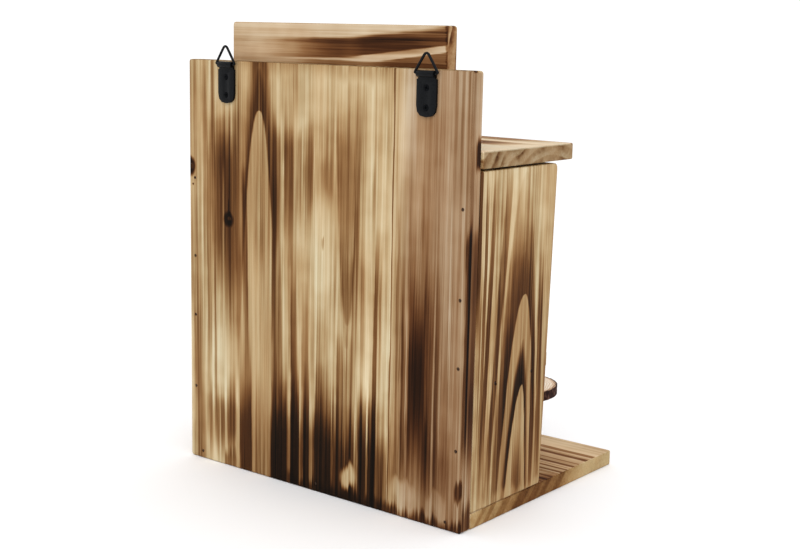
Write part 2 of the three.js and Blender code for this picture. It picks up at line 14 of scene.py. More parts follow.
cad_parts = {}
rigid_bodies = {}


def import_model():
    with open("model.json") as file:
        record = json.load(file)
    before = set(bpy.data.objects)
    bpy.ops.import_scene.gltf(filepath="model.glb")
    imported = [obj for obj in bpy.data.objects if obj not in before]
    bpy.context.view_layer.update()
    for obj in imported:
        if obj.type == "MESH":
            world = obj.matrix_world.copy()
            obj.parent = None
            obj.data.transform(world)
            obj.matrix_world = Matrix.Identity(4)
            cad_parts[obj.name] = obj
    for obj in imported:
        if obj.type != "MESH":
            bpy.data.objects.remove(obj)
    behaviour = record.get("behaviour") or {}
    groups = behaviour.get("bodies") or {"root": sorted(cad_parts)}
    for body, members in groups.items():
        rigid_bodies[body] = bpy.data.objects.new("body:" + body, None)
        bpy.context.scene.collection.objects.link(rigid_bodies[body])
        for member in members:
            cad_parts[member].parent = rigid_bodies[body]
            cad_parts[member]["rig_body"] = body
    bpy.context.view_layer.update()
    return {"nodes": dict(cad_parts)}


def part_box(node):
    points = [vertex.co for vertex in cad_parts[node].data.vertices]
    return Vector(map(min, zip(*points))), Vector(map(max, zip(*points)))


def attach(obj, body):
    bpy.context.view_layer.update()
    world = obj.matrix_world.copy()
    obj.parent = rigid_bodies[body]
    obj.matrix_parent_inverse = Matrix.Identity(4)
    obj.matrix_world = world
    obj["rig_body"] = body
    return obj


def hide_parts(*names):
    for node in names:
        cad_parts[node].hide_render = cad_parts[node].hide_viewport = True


for leftover in list(bpy.data.objects):
    bpy.data.objects.remove(leftover)

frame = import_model()

LOG = logging.getLogger("feeder")

MM = 0.001
TO_MM = (1000, 1000, 1000)
UP = (0, 0, 1)
SMOOTH_ANGLE = math.radians(32)
FLAT_ANGLE = math.radians(1)
JOIN_WITHIN = 0.01 * MM
# How much of a face's normal points up or down where it counts as level, and the most that
# points so, and the least that points aside, where a vertex faces sideways
LEVEL = 0.9
MOST_UPRIGHT = 0.8
LEAST_ASIDE = 0.3
WHITE = "ffffff"

Socket = bpy.types.NodeSocket
Tree = bpy.types.NodeTree
Piece = bpy.types.Object
Outputs = bpy.types.bpy_prop_collection
Pair = tuple[float, float]
Place = tuple[float, float, float]
Rule = tuple[Place, float]

# Settings that many nodes share
SMOOTH = {"interpolation_type": "SMOOTHSTEP", "clamp": False}
COLOURS = {"data_type": "RGBA"}
MULTIPLIED = {"data_type": "RGBA", "blend_type": "MULTIPLY"}


class Body(Enum):
    """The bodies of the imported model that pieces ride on."""

    BOX = "box"
    LID = "lid"
    LEFT_RING = "left_ring"
    RIGHT_RING = "right_ring"


class Slot(Enum):
    """The record's material slots."""

    TORCHED = "torched_wood"
    COUNTER = "counter_wood"
    LOG = "log_wood"
    BARK = "bark"
    BLACK_STEEL = "black_steel"
    NAIL = "bright_nail"
    ACRYLIC = "clear_acrylic"


class Side(Enum):
    """A side of the box as seen from behind, with the sign of its x."""

    LEFT = 1
    RIGHT = -1

    @property
    def label(self) -> str:
        """The word that the side's node names start with."""
        return self.name.lower()


def linear(code: str) -> tuple[float, float, float, float]:
    """Turns an sRGB hex code into the linear colour that the shaders take.

    Args:
        code: Six hex digits.

    Returns:
        Red, green, blue and alpha.
    """
    parts = [int(code[i : i + 2], 16) / 255 for i in (0, 2, 4)]
    red, green, blue = (p / 12.92 if p <= 0.04045 else ((p + 0.055) / 1.055) ** 2.4 for p in parts)
    return (red, green, blue, 1.0)


def add_node(tree: Tree, kind: str, inputs: dict | Sequence = (), **settings: object) -> Socket:
    """Adds one node with its settings and links.

    Args:
        tree: The node tree that gets the node.
        kind: The node's type, without the words ShaderNode in front.
        inputs: Values or sockets, in the inputs' order or by name or number. A MapRange takes its
            value, then the range that it comes from and the one that it goes to. A Mix takes its
            share as 0, numbers as 2 and 3, and colours as 6 and 7.
        settings: Properties of the node; stops is a colour ramp's list of place and hex code.

    Returns:
        The node's first output, or None where it has none.
    """
    node = tree.nodes.new(kind if kind.startswith("NodeGroup") else "ShaderNode" + kind)
    for name, value in settings.items():
        if name == "stops":
            ramp = node.color_ramp
            while len(ramp.elements) < len(value):
                ramp.elements.new(1.0)
            for element, (place, code) in zip(ramp.elements, value):
                element.position = place
                element.color = linear(code)
        else:
            setattr(node, name, value)
    pairs = inputs.items() if isinstance(inputs, dict) else enumerate(inputs)
    for key, value in pairs:
        if isinstance(value, Socket):
            tree.links.new(value, node.inputs[key])
        elif value is not None:
            node.inputs[key].default_value = value
    return next((output for output in node.outputs if output.enabled), None)


def empty_tree(owner: bpy.types.Material | bpy.types.World) -> Tree:
    """Gives a material or world an empty node tree.

    Args:
        owner: The material or world.

    Returns:
        Its tree.
    """
    owner.use_nodes = True
    owner.node_tree.nodes.clear()
    return owner.node_tree


# Marks of the torch, in millimetres across and along a board


def lay_over(tree: Tree, at: Outputs, masks: Sequence[Socket]) -> None:
    """Ends a mark's group: brings the clearness towards the mark's own where all masks are 1.

    Args:
        tree: The group's tree.
        at: The outputs of its input node.
        masks: The masks, which are multiplied.
    """
    cover = at["Strength"]
    for mask in masks:
        cover = add_node(tree, "Math", (cover, mask), operation="MULTIPLY")
    gap = add_node(tree, "Math", (at["Target"], at["Clear"]), operation="SUBTRACT")
    clear = add_node(tree, "Math", (cover, gap, at["Clear"]), operation="MULTIPLY_ADD")
    add_node(tree, "NodeGroupOutput", (clear,))


def end_masks(tree: Tree, at: Outputs) -> list[Socket]:
    """Adds the masks that fade a mark in at its head and out at its foot.

    Args:
        tree: The group's tree.
        at: The outputs of its input node.

    Returns:
        The two masks.
    """
    ends = (("Head", "Head full", 0, 1), ("Foot full", "Foot", 1, 0))
    return [
        add_node(tree, "MapRange", (at["Ragged"], at[low], at[high], before, after), **SMOOTH)
        for low, high, before, after in ends
    ]


@dataclass(frozen=True)
class Mark:
    """A place where the torch left the wood darker or paler than around it.

    Every kind has a strength, which is how fully it shows, and a clear, which is how pale it is,
    from 0 for black to 1 for bare wood.
    """

    NAME = ""
    INPUTS = ()
    SHARED = ("Across", "Along", "Ragged", "Clear", "Strength", "Target")

    @classmethod
    def group(cls) -> Tree:
        """Gives the node group that lays one such mark over the wood's clearness.

        Returns:
            The group's tree, which is built the first time. Its sockets are plain numbers.
        """
        tree = bpy.data.node_groups.get(cls.NAME)
        if tree is None:
            tree = bpy.data.node_groups.new(cls.NAME, "ShaderNodeTree")
            ways = [(name, "INPUT") for name in cls.SHARED + cls.INPUTS] + [("Clear", "OUTPUT")]
            for name, way in ways:
                tree.interface.new_socket(name, in_out=way, socket_type="NodeSocketFloat")
            at = add_node(tree, "NodeGroupInput").node.outputs
            lay_over(tree, at, cls.masks(tree, at))
        return tree

    @classmethod
    def masks(cls, tree: Tree, at: Outputs) -> list[Socket]:
        """Adds the mark's own masks; each kind has its own."""
        raise NotImplementedError

    def values(self) -> dict[str, float]:
        """The settings that every mark has."""
        return {"Strength": self.strength, "Target": self.clear}

    def end_values(self) -> dict[str, float]:
        """Names the settings of a mark that fades at its head and foot.

        Returns:
            The settings by the names of the inputs of its group.
        """
        return {
            "Head": self.span[0], "Foot": self.span[1],
            "Head full": self.span[0] + self.fade[0], "Foot full": self.span[1] - self.fade[1],
        }


@dataclass(frozen=True)
class Streak(Mark):
    """A mark that runs along the grain.

    Its edges go from their place at its head to their place at its foot. soft is how far each
    edge fades outwards, and fade how far each end does.
    """

    left: Pair
    right: Pair
    span: Pair
    fade: Pair
    strength: float
    soft: Pair = (1.5, 1.5)
    clear: float = 0.0

    NAME = "scorch_streak"
    INPUTS = (
        "Left head", "Left foot", "Right head", "Right foot", "Head", "Foot", "Head full",
        "Foot full", "Left soft", "Right soft",
    )

    @classmethod
    def masks(cls, tree: Tree, at: Outputs) -> list[Socket]:
        """Adds the masks of the two edges and the two ends.

        Args:
            tree: The group's tree.
            at: The outputs of its input node.

        Returns:
            The masks.
        """
        found = []
        edges = (("Left", at["Left soft"], 0.0, 0, 1), ("Right", 0.0, at["Right soft"], 1, 0))
        for edge, low, high, before, after in edges:
            sway = (at["Along"], at["Head"], at["Foot"], at[edge + " head"], at[edge + " foot"])
            line = add_node(tree, "MapRange", sway, clamp=False)
            past = add_node(tree, "Math", (at["Across"], line), operation="SUBTRACT")
            found.append(add_node(tree, "MapRange", (past, low, high, before, after), **SMOOTH))
        return found + end_masks(tree, at)

    def values(self) -> dict[str, float]:
        """Names the settings of this streak.

        Returns:
            The settings by the names of the inputs of its group.
        """
        return {
            **super().values(), **self.end_values(),
            "Left head": self.left[0], "Left foot": self.left[1],
            "Right head": self.right[0], "Right foot": self.right[1],
            "Left soft": -self.soft[0], "Right soft": self.soft[1],
        }


@dataclass(frozen=True)
class Arch(Mark):
    """A mark that fills a cathedral of the grain.

    Its outline stands spread to the left and right of its apex at reach from it, down the board,
    or up the board where reach is negative. soft is how far it fades inside and outside of that.
    """

    apex: Pair
    reach: float
    spread: Pair
    power: float
    strength: float
    span: Pair = (-60, 400)
    fade: Pair = (10, 10)
    soft: Pair = (1.5, 1.5)
    clear: float = 0.0

    NAME = "scorch_arch"
    INPUTS = (
        "Apex across", "Apex along", "To left", "To right", "Bend", "Per reach", "Inner soft",
        "Outer soft", "Head", "Foot", "Head full", "Foot full",
    )

    @classmethod
    def masks(cls, tree: Tree, at: Outputs) -> list[Socket]:
        """Adds the masks of the outline and the two ends.

        Args:
            tree: The group's tree.
            at: The outputs of its input node.

        Returns:
            The masks.
        """
        off = add_node(tree, "Math", (at["Across"], at["Apex across"]), operation="SUBTRACT")
        down = add_node(tree, "Math", (at["Along"], at["Apex along"]), operation="SUBTRACT")
        share = add_node(tree, "Math", (down, at["Per reach"]), operation="MULTIPLY")
        below = add_node(tree, "Math", (share, 0.0), operation="MAXIMUM")
        curve = add_node(tree, "Math", (below, at["Bend"]), operation="POWER")
        right = add_node(tree, "Math", (curve, at["To right"], off), operation="MULTIPLY_ADD")
        other = add_node(tree, "Math", (off, -1.0), operation="MULTIPLY")
        left = add_node(tree, "Math", (curve, at["To left"], other), operation="MULTIPLY_ADD")
        outside = add_node(tree, "Math", (left, right), operation="MAXIMUM")
        fade = (outside, at["Inner soft"], at["Outer soft"], 1, 0)
        return [add_node(tree, "MapRange", fade, **SMOOTH)] + end_masks(tree, at)

    def values(self) -> dict[str, float]:
        """Names the settings of this arch.

        Returns:
            The settings by the names of the inputs of its group.
        """
        return {
            **super().values(), **self.end_values(),
            "Apex across": self.apex[0], "Apex along": self.apex[1],
            "To left": -self.spread[0], "To right": -self.spread[1], "Bend": 1 / self.power,
            "Per reach": 1 / self.reach, "Inner soft": -self.soft[0], "Outer soft": self.soft[1],
        }


@dataclass(frozen=True)
class Spot(Mark):
    """A round mark, such as a knot or a place that the torch spared.

    frayed is how much its outline is drawn out along the grain.
    """

    place: Pair
    radius: Pair
    strength: float
    clear: float = 0.0
    frayed: float = 1.0

    NAME = "scorch_spot"
    INPUTS = ("Middle across", "Middle along", "Per across", "Per along", "Frayed")
    # The squared share of its radius at which it begins to fade, and at which it is gone
    FADE = (0.25, 1.5)

    @classmethod
    def masks(cls, tree: Tree, at: Outputs) -> list[Socket]:
        """Adds the mask of the round outline.

        Args:
            tree: The group's tree.
            at: The outputs of its input node.

        Returns:
            The mask, in a list.
        """
        squares = []
        swing = add_node(tree, "Math", (at["Ragged"], at["Along"]), operation="SUBTRACT")
        frayed = add_node(tree, "Math", (swing, at["Frayed"], at["Along"]), operation="MULTIPLY_ADD")
        for way, place in (("across", at["Across"]), ("along", frayed)):
            off = add_node(tree, "Math", (place, at["Middle " + way]), operation="SUBTRACT")
            share = add_node(tree, "Math", (off, at["Per " + way]), operation="MULTIPLY")
            squares.append(add_node(tree, "Math", (share, share), operation="MULTIPLY"))
        total = add_node(tree, "Math", squares, operation="ADD")
        return [add_node(tree, "MapRange", (total, *cls.FADE, 1, 0), **SMOOTH)]

    def values(self) -> dict[str, float]:
        """Names the settings of this spot.

        Returns:
            The settings by the names of the inputs of its group.
        """
        return {
            **super().values(),
            "Middle across": self.place[0], "Middle along": self.place[1],
            "Per across": 1 / self.radius[0], "Per along": 1 / self.radius[1],
            "Frayed": self.frayed,
        }


@dataclass(frozen=True)
class Face:
    """A face whose scorch marks follow the photograph.

    across and along give the face's own millimetres, and the face is where the rule in where
    comes out above 0. Each rule is a direction and an offset of the place in the object. A tint
    takes its colour in from one place across to another, and keeps it from there on. ground is how
    dark the wood is without marks, rag how unevenly the streaks end, and bend how far they sway,
    the last two in millimetres.
    """

    across: Rule
    along: Rule
    where: Rule
    marks: tuple[Mark, ...]
    tints: tuple[tuple[float, float, str], ...] = ()
    ground: float = 0.1
    rag: float = 14.0
    bend: float = 1.0


@dataclass(frozen=True)
class Board:
    """How a board was sawn out of its log, in millimetres.

    middle is the board's middle, and grain the axis that the grain runs along, 0 to 2 for X to Z.
    pith is where the log's heart passes, from the middle on the other two axes in order, lean how
    far it drifts for each millimetre along, and ring the spacing of the year rings. seed tells the
    board's noises from the others', heat is how much it was torched, and end_tint is the colour
    that its end grain is multiplied by.
    """

    middle: Place
    grain: int
    pith: Pair
    lean: Pair
    ring: float = 6.0
    seed: float = 0.0
    heat: float = 0.5
    end_tint: str = "d9d6cf"


# Finishes


@dataclass(frozen=True)
class Finish:
    """A real material and how its surface was made, with the record's slot for it."""

    name: str
    slot: Slot

    def material(self) -> bpy.types.Material:
        """Gives the finish as a material.

        Returns:
            The material, whose nodes are drawn the first time.
        """
        made = bpy.data.materials.get(self.name)
        if made is None:
            made = bpy.data.materials.new(self.name)
            tree = empty_tree(made)
            add_node(tree, "OutputMaterial", {"Surface": self.draw(tree)})
        return made

    def draw(self, tree: Tree) -> Socket:
        """Draws the finish's nodes; each finish has its own."""
        raise NotImplementedError


def lay_marks(tree: Tree, marks: Sequence[Mark], at: dict[str, Socket], clear: Socket) -> Socket:
    """Lays marks over the wood's clearness, one after the other.

    Args:
        tree: The material's tree.
        marks: The marks.
        at: The sockets that each mark's group reads, by the names of its inputs.
        clear: The clearness of the bare wood.

    Returns:
        The clearness under all marks.
    """
    for mark in marks:
        values = {**at, "Clear": clear, **mark.values()}
        clear = add_node(tree, "Group", values, node_tree=mark.group())
    return clear


@dataclass(frozen=True)
class TorchedPine(Finish):
    """Pine board, planed, scorched with a torch and brushed.

    Gives the eye pale cream lines of late wood between brown and black scorch, matt all over, and
    greyer end grain with arcs and pores.
    """

    board: Board
    faces: tuple[Face, ...] = ()

    STOPS = (
        (0.0, "dbcfb4"), (0.14, "c8b494"), (0.28, "b09570"), (0.44, "916e49"),
        (0.6, "6d4829"), (0.75, "472a16"), (0.88, "29190e"), (1.0, "130d09"),
    )
    WARM_SMOKE = "fffbf0"
    COOL_SMOKE = "f8faf3"

    # Each noise's size across and along the grain, in millimetres, and its detail
    NOISES = {
        "fibre": (0.7, 45.0, 3.0), "line": (2.3, 260.0, 2.0), "ring": (8.0, 200.0, 2.0),
        "patch": (30.0, 30.0, 2.0), "sway": (60.0, 330.0, 1.0), "heat": (16.0, 130.0, 2.0),
    }
    # How much of a face's rag each noise gives
    RAGS = {"line": 1.0, "ring": 1.2, "patch": 0.8}

    # Lengths in millimetres
    ARRIS = 0.5
    BLEED = 2.0
    SWAY = 26.0
    UNEVEN = 2.2
    RELIEF = 0.2

    # Two gains, each with what is added to it
    LINES = (0.25, 0.03)
    FIBRES = (0.7, 0.1)
    # How charred the wood is where its lines are gone again
    ROOM = 1.1
    # How much of a noise goes into the shade, the relief and the rings' heat
    CLOUDS = -0.3
    LINE_RELIEF = 0.3
    HEAT_SHIFT = 0.3

    # Ranges: the first two numbers become the last two
    ON_FACE = (-0.2, 0.2, 0, 1)
    ON_END = (0.7, 0.9, 0, 1)
    SMOKE = (0.38, 0.62, 0, 1)
    ON_ARRIS = (0.98, 0.8, 0, 1)
    ARRIS_CHAR = (0.35, 0.65, 0.15, 0.55)
    CRISP = (0.36, 0.64, -1, 1)
    BUSY = (0.42, 0.6, 0.35, 1.2)
    END_CALM = (0, 1, 1, 0.3)
    ROUGHNESS = (0, 1, 0.6, 0.8)
    RISE = (0.1, 0.78, 0, 1)
    DROP = (0.82, 1, 1, 0)
    HEAT = (0.5, 0.86, 0.16, 0.95)
    RING_TONE = (0.3, 0.7, 0.9, 0.7)
    FACE_TONE = (0.3, 0.7, 1.06, 0.84)
    END_TONE = (0, 1, 0.2, 0.9)
    PORES = (0.3, 0.7, -0.04, 0.04)

    def draw(self, tree: Tree) -> Socket:
        """Draws the wood's figure, the torch's marks and the fibres.

        Args:
            tree: The material's tree.

        Returns:
            The shader.
        """
        coords = add_node(tree, "TexCoord").node.outputs
        place = add_node(tree, "VectorMath", (coords["Object"], TO_MM), operation="MULTIPLY")
        noises = self.grain_noises(tree, place)
        clear = self.sawn(tree, place, noises)
        tint = linear(WHITE)
        for face in self.faces:
            figured = self.figure(tree, face, place, noises)
            inside = self.measure(tree, place, face.where)
            here = add_node(tree, "MapRange", (inside, *self.ON_FACE))
            clear = add_node(tree, "Mix", {0: here, 2: clear, 3: figured}, data_type="FLOAT")
            tint = self.tinted(tree, face, place, here, tint)
        ends = [0, 0, 0]
        ends[self.board.grain] = 1
        facing = add_node(tree, "VectorMath", (coords["Normal"], ends), operation="DOT_PRODUCT")
        facing = add_node(tree, "Math", (facing,), operation="ABSOLUTE")
        end = add_node(tree, "MapRange", (facing, *self.ON_END))
        clear = self.end_grain(tree, place, end, clear)
        tint = self.smoked(tree, noises["heat"], end, tint)

        rounded = add_node(tree, "Bevel", {"Radius": self.ARRIS * MM}, samples=4)
        char = self.charred(tree, rounded, noises["ring"], clear)
        crisp, shade = self.lined(tree, noises, end, char)
        colour = add_node(tree, "ValToRGB", {"Fac": shade}, stops=self.STOPS)
        colour = add_node(tree, "Mix", {0: 1, 6: colour, 7: tint}, **MULTIPLIED)
        rough = add_node(tree, "MapRange", (shade, *self.ROUGHNESS))
        lines = (crisp, self.LINE_RELIEF, noises["fibre"])
        relief = add_node(tree, "Math", lines, operation="MULTIPLY_ADD")
        bump = add_node(tree, "Bump", {
            "Strength": 0.4, "Distance": self.RELIEF * MM, "Height": relief, "Normal": rounded,
        })
        return add_node(tree, "BsdfPrincipled", {
            "Base Color": colour, "Roughness": rough, "Normal": bump, "Specular IOR Level": 0.06,
        })

    def grain_noises(self, tree: Tree, place: Socket) -> dict[str, Socket]:
        """Adds the wood's noises, drawn out along the grain.

        Args:
            tree: The material's tree.
            place: The place, in millimetres.

        Returns:
            The noises by name.
        """
        shift = [step * self.board.seed for step in (1, 2, 3)]
        moved = add_node(tree, "VectorMath", (place, shift), operation="ADD")
        noises = {}
        for name, (width, length, detail) in self.NOISES.items():
            per_length = [1 / width] * 3
            per_length[self.board.grain] = 1 / length
            drawn_out = add_node(tree, "VectorMath", (moved, per_length), operation="MULTIPLY")
            noises[name] = add_node(tree, "TexNoise", {
                "Vector": drawn_out, "Scale": 1.0, "Detail": detail, "Roughness": 0.6,
            })
        return noises

    def measure(self, tree: Tree, place: Socket, rule: Rule) -> Socket:
        """Measures a place along a direction.

        Args:
            tree: The material's tree.
            place: The place, in millimetres.
            rule: The direction and the offset.

        Returns:
            The measure, in millimetres.
        """
        direction, offset = rule
        length = add_node(tree, "VectorMath", (place, direction), operation="DOT_PRODUCT")
        return add_node(tree, "Math", (length, offset), operation="ADD")

    def sawn(self, tree: Tree, place: Socket, noises: dict[str, Socket]) -> Socket:
        """Draws year rings through the whole board, for the faces that no photograph shows.

        Args:
            tree: The material's tree.
            place: The place, in millimetres.
            noises: The noises of the wood.

        Returns:
            The wood's clearness.
        """
        board = self.board
        axes = [axis for axis in range(3) if axis != board.grain]
        parts = add_node(tree, "SeparateXYZ", {"Vector": place}).node.outputs
        start = board.middle[board.grain]
        along = add_node(tree, "Math", (parts[board.grain], start), operation="SUBTRACT")
        squares = []
        for axis, pith, lean in zip(axes, board.pith, board.lean):
            drift = add_node(tree, "Math", (along, -lean, parts[axis]), operation="MULTIPLY_ADD")
            off = add_node(tree, "Math", (drift, board.middle[axis] + pith), operation="SUBTRACT")
            swayed = (noises["sway"], self.SWAY, off)
            wobble = add_node(tree, "Math", swayed, operation="MULTIPLY_ADD")
            squares.append(add_node(tree, "Math", (wobble, wobble), operation="MULTIPLY"))
        total = add_node(tree, "Math", squares, operation="ADD")
        radius = add_node(tree, "Math", (total,), operation="SQRT")
        spaced = (noises["ring"], self.UNEVEN, radius)
        uneven = add_node(tree, "Math", spaced, operation="MULTIPLY_ADD")
        rings = add_node(tree, "Math", (uneven, 1 / board.ring), operation="MULTIPLY")
        phase = add_node(tree, "Math", (rings,), operation="FRACT")
        rise = add_node(tree, "MapRange", (phase, *self.RISE), **SMOOTH)
        drop = add_node(tree, "MapRange", (phase, *self.DROP), **SMOOTH)
        dark = add_node(tree, "Math", (rise, drop), operation="MULTIPLY")
        cold, hot, spared_share, burnt_share = self.HEAT
        shift = self.HEAT_SHIFT * board.heat
        reach = (noises["heat"], cold - shift, hot - shift, spared_share, burnt_share)
        heat = add_node(tree, "MapRange", reach, **SMOOTH)
        burnt = add_node(tree, "Math", (dark, heat), operation="MULTIPLY")
        spared = add_node(tree, "Math", (1, burnt), operation="SUBTRACT")
        varied = add_node(tree, "MapRange", (noises["ring"], *self.RING_TONE), clamp=False)
        return add_node(tree, "Math", (spared, varied), operation="MULTIPLY")

    def end_grain(self, tree: Tree, place: Socket, end: Socket, clear: Socket) -> Socket:
        """Dulls the end grain and fills it with pores.

        Args:
            tree: The material's tree.
            place: The place, in millimetres.
            end: 1 on the end grain.
            clear: The wood's clearness.

        Returns:
            The clearness with the end grain's own.
        """
        pores = add_node(tree, "TexNoise", {
            "Vector": place, "Scale": 0.9, "Detail": 3.0, "Roughness": 0.7,
        })
        flat = add_node(tree, "MapRange", (clear, *self.END_TONE), clamp=False)
        pored = add_node(tree, "MapRange", (pores, *self.PORES))
        dull = add_node(tree, "Math", (flat, pored), operation="ADD")
        return add_node(tree, "Mix", {0: end, 2: clear, 3: dull}, data_type="FLOAT")

    def figure(self, tree: Tree, face: Face, place: Socket, noises: dict[str, Socket]) -> Socket:
        """Draws the marks of one face that the photograph shows.

        Its nodes aren't clamped, because the renderer has no room for that in so long a chain.

        Args:
            tree: The material's tree.
            face: The face.
            place: The place, in millimetres.
            noises: The noises of the wood.

        Returns:
            The wood's clearness.
        """
        across = self.measure(tree, place, face.across)
        along = self.measure(tree, place, face.along)
        swings = {
            name: add_node(tree, "Math", (noises[name], 0.5), operation="SUBTRACT")
            for name in self.RAGS
        }
        ragged = along
        for name, share in self.RAGS.items():
            drawn = (swings[name], share * face.rag, ragged)
            ragged = add_node(tree, "Math", drawn, operation="MULTIPLY_ADD")
        swayed = (swings["patch"], face.bend, across)
        bent = add_node(tree, "Math", swayed, operation="MULTIPLY_ADD")
        bleed = add_node(tree, "Math", (noises["fibre"], 0.5), operation="SUBTRACT")
        bent = add_node(tree, "Math", (bleed, self.BLEED, bent), operation="MULTIPLY_ADD")
        low, high, pale, dull = self.FACE_TONE
        rings = (noises["ring"], low, high, pale - face.ground, dull - face.ground)
        tone = add_node(tree, "MapRange", rings, clamp=False)
        clouds = (swings["patch"], self.CLOUDS, tone)
        cloudy = add_node(tree, "Math", clouds, operation="MULTIPLY_ADD")
        sockets = {"Across": bent, "Along": along, "Ragged": ragged}
        return lay_marks(tree, face.marks, sockets, cloudy)

    def tinted(
        self, tree: Tree, face: Face, place: Socket, here: Socket, tint: Socket | tuple
    ) -> Socket:
        """Adds a face's tints to the colour that the wood is multiplied by.

        Args:
            tree: The material's tree.
            face: The face.
            place: The place, in millimetres.
            here: 1 on the face.
            tint: The colour so far.

        Returns:
            The colour.
        """
        own = linear(WHITE)
        if face.tints:
            across = self.measure(tree, place, face.across)
            for start, end, code in face.tints:
                cover = add_node(tree, "MapRange", (across, start, end))
                own = add_node(tree, "Mix", {0: cover, 6: own, 7: linear(code)}, **COLOURS)
        return add_node(tree, "Mix", {0: here, 6: tint, 7: own}, **COLOURS)

    def smoked(self, tree: Tree, heat: Socket, end: Socket, tint: Socket | tuple) -> Socket:
        """Adds the end grain's tint, and the small changes of hue that smoke leaves.

        Args:
            tree: The material's tree.
            heat: The noise of the torch's heat.
            end: 1 on the end grain.
            tint: The colour so far.

        Returns:
            The colour.
        """
        ends = {0: end, 6: tint, 7: linear(self.board.end_tint)}
        tint = add_node(tree, "Mix", ends, **COLOURS)
        smoke = add_node(tree, "MapRange", (heat, *self.SMOKE))
        hues = {0: smoke, 6: linear(self.WARM_SMOKE), 7: linear(self.COOL_SMOKE)}
        hue = add_node(tree, "Mix", hues, **COLOURS)
        return add_node(tree, "Mix", {0: 1, 6: tint, 7: hue}, **MULTIPLIED)

    def charred(self, tree: Tree, rounded: Socket, ring: Socket, clear: Socket) -> Socket:
        """Turns clearness into char, and chars the board's arrises further.

        Args:
            tree: The material's tree.
            rounded: The normal of the rounded arrises.
            ring: The noise that makes the arrises uneven.
            clear: The wood's clearness.

        Returns:
            How charred the wood is.
        """
        true_normal = add_node(tree, "NewGeometry").node.outputs["True Normal"]
        level = add_node(tree, "VectorMath", (rounded, true_normal), operation="DOT_PRODUCT")
        arris = add_node(tree, "MapRange", (level, *self.ON_ARRIS))
        scorch = add_node(tree, "MapRange", (ring, *self.ARRIS_CHAR))
        char = add_node(tree, "Math", (1, clear), operation="SUBTRACT")
        return add_node(tree, "Math", (arris, scorch, char), operation="MULTIPLY_ADD")

    def lined(
        self, tree: Tree, noises: dict[str, Socket], end: Socket, char: Socket
    ) -> tuple[Socket, Socket]:
        """Draws the fine lines and fibres, which show most where the wood is half charred.

        Args:
            tree: The material's tree.
            noises: The noises of the wood.
            end: 1 on the end grain.
            char: How charred the wood is.

        Returns:
            The lines alone, and the shade with lines and fibres.
        """
        room = add_node(tree, "Math", (self.ROOM, char), operation="SUBTRACT")
        middling = add_node(tree, "Math", (char, room), operation="MULTIPLY")
        crisp = add_node(
            tree, "MapRange", (noises["line"], *self.CRISP), interpolation_type="SMOOTHSTEP"
        )
        soft = add_node(tree, "Math", (noises["fibre"], 0.5), operation="SUBTRACT")
        line_gain = add_node(tree, "Math", (middling, *self.LINES), operation="MULTIPLY_ADD")
        fibre_gain = add_node(tree, "Math", (middling, *self.FIBRES), operation="MULTIPLY_ADD")
        busy = add_node(tree, "MapRange", (noises["heat"], *self.BUSY))
        line_gain = add_node(tree, "Math", (line_gain, busy), operation="MULTIPLY")
        drawn = add_node(tree, "Math", (crisp, line_gain), operation="MULTIPLY")
        drawn = add_node(tree, "Math", (soft, fibre_gain, drawn), operation="MULTIPLY_ADD")
        calm = add_node(tree, "MapRange", (end, *self.END_CALM))
        return crisp, add_node(tree, "Math", (drawn, calm, char), operation="MULTIPLY_ADD")


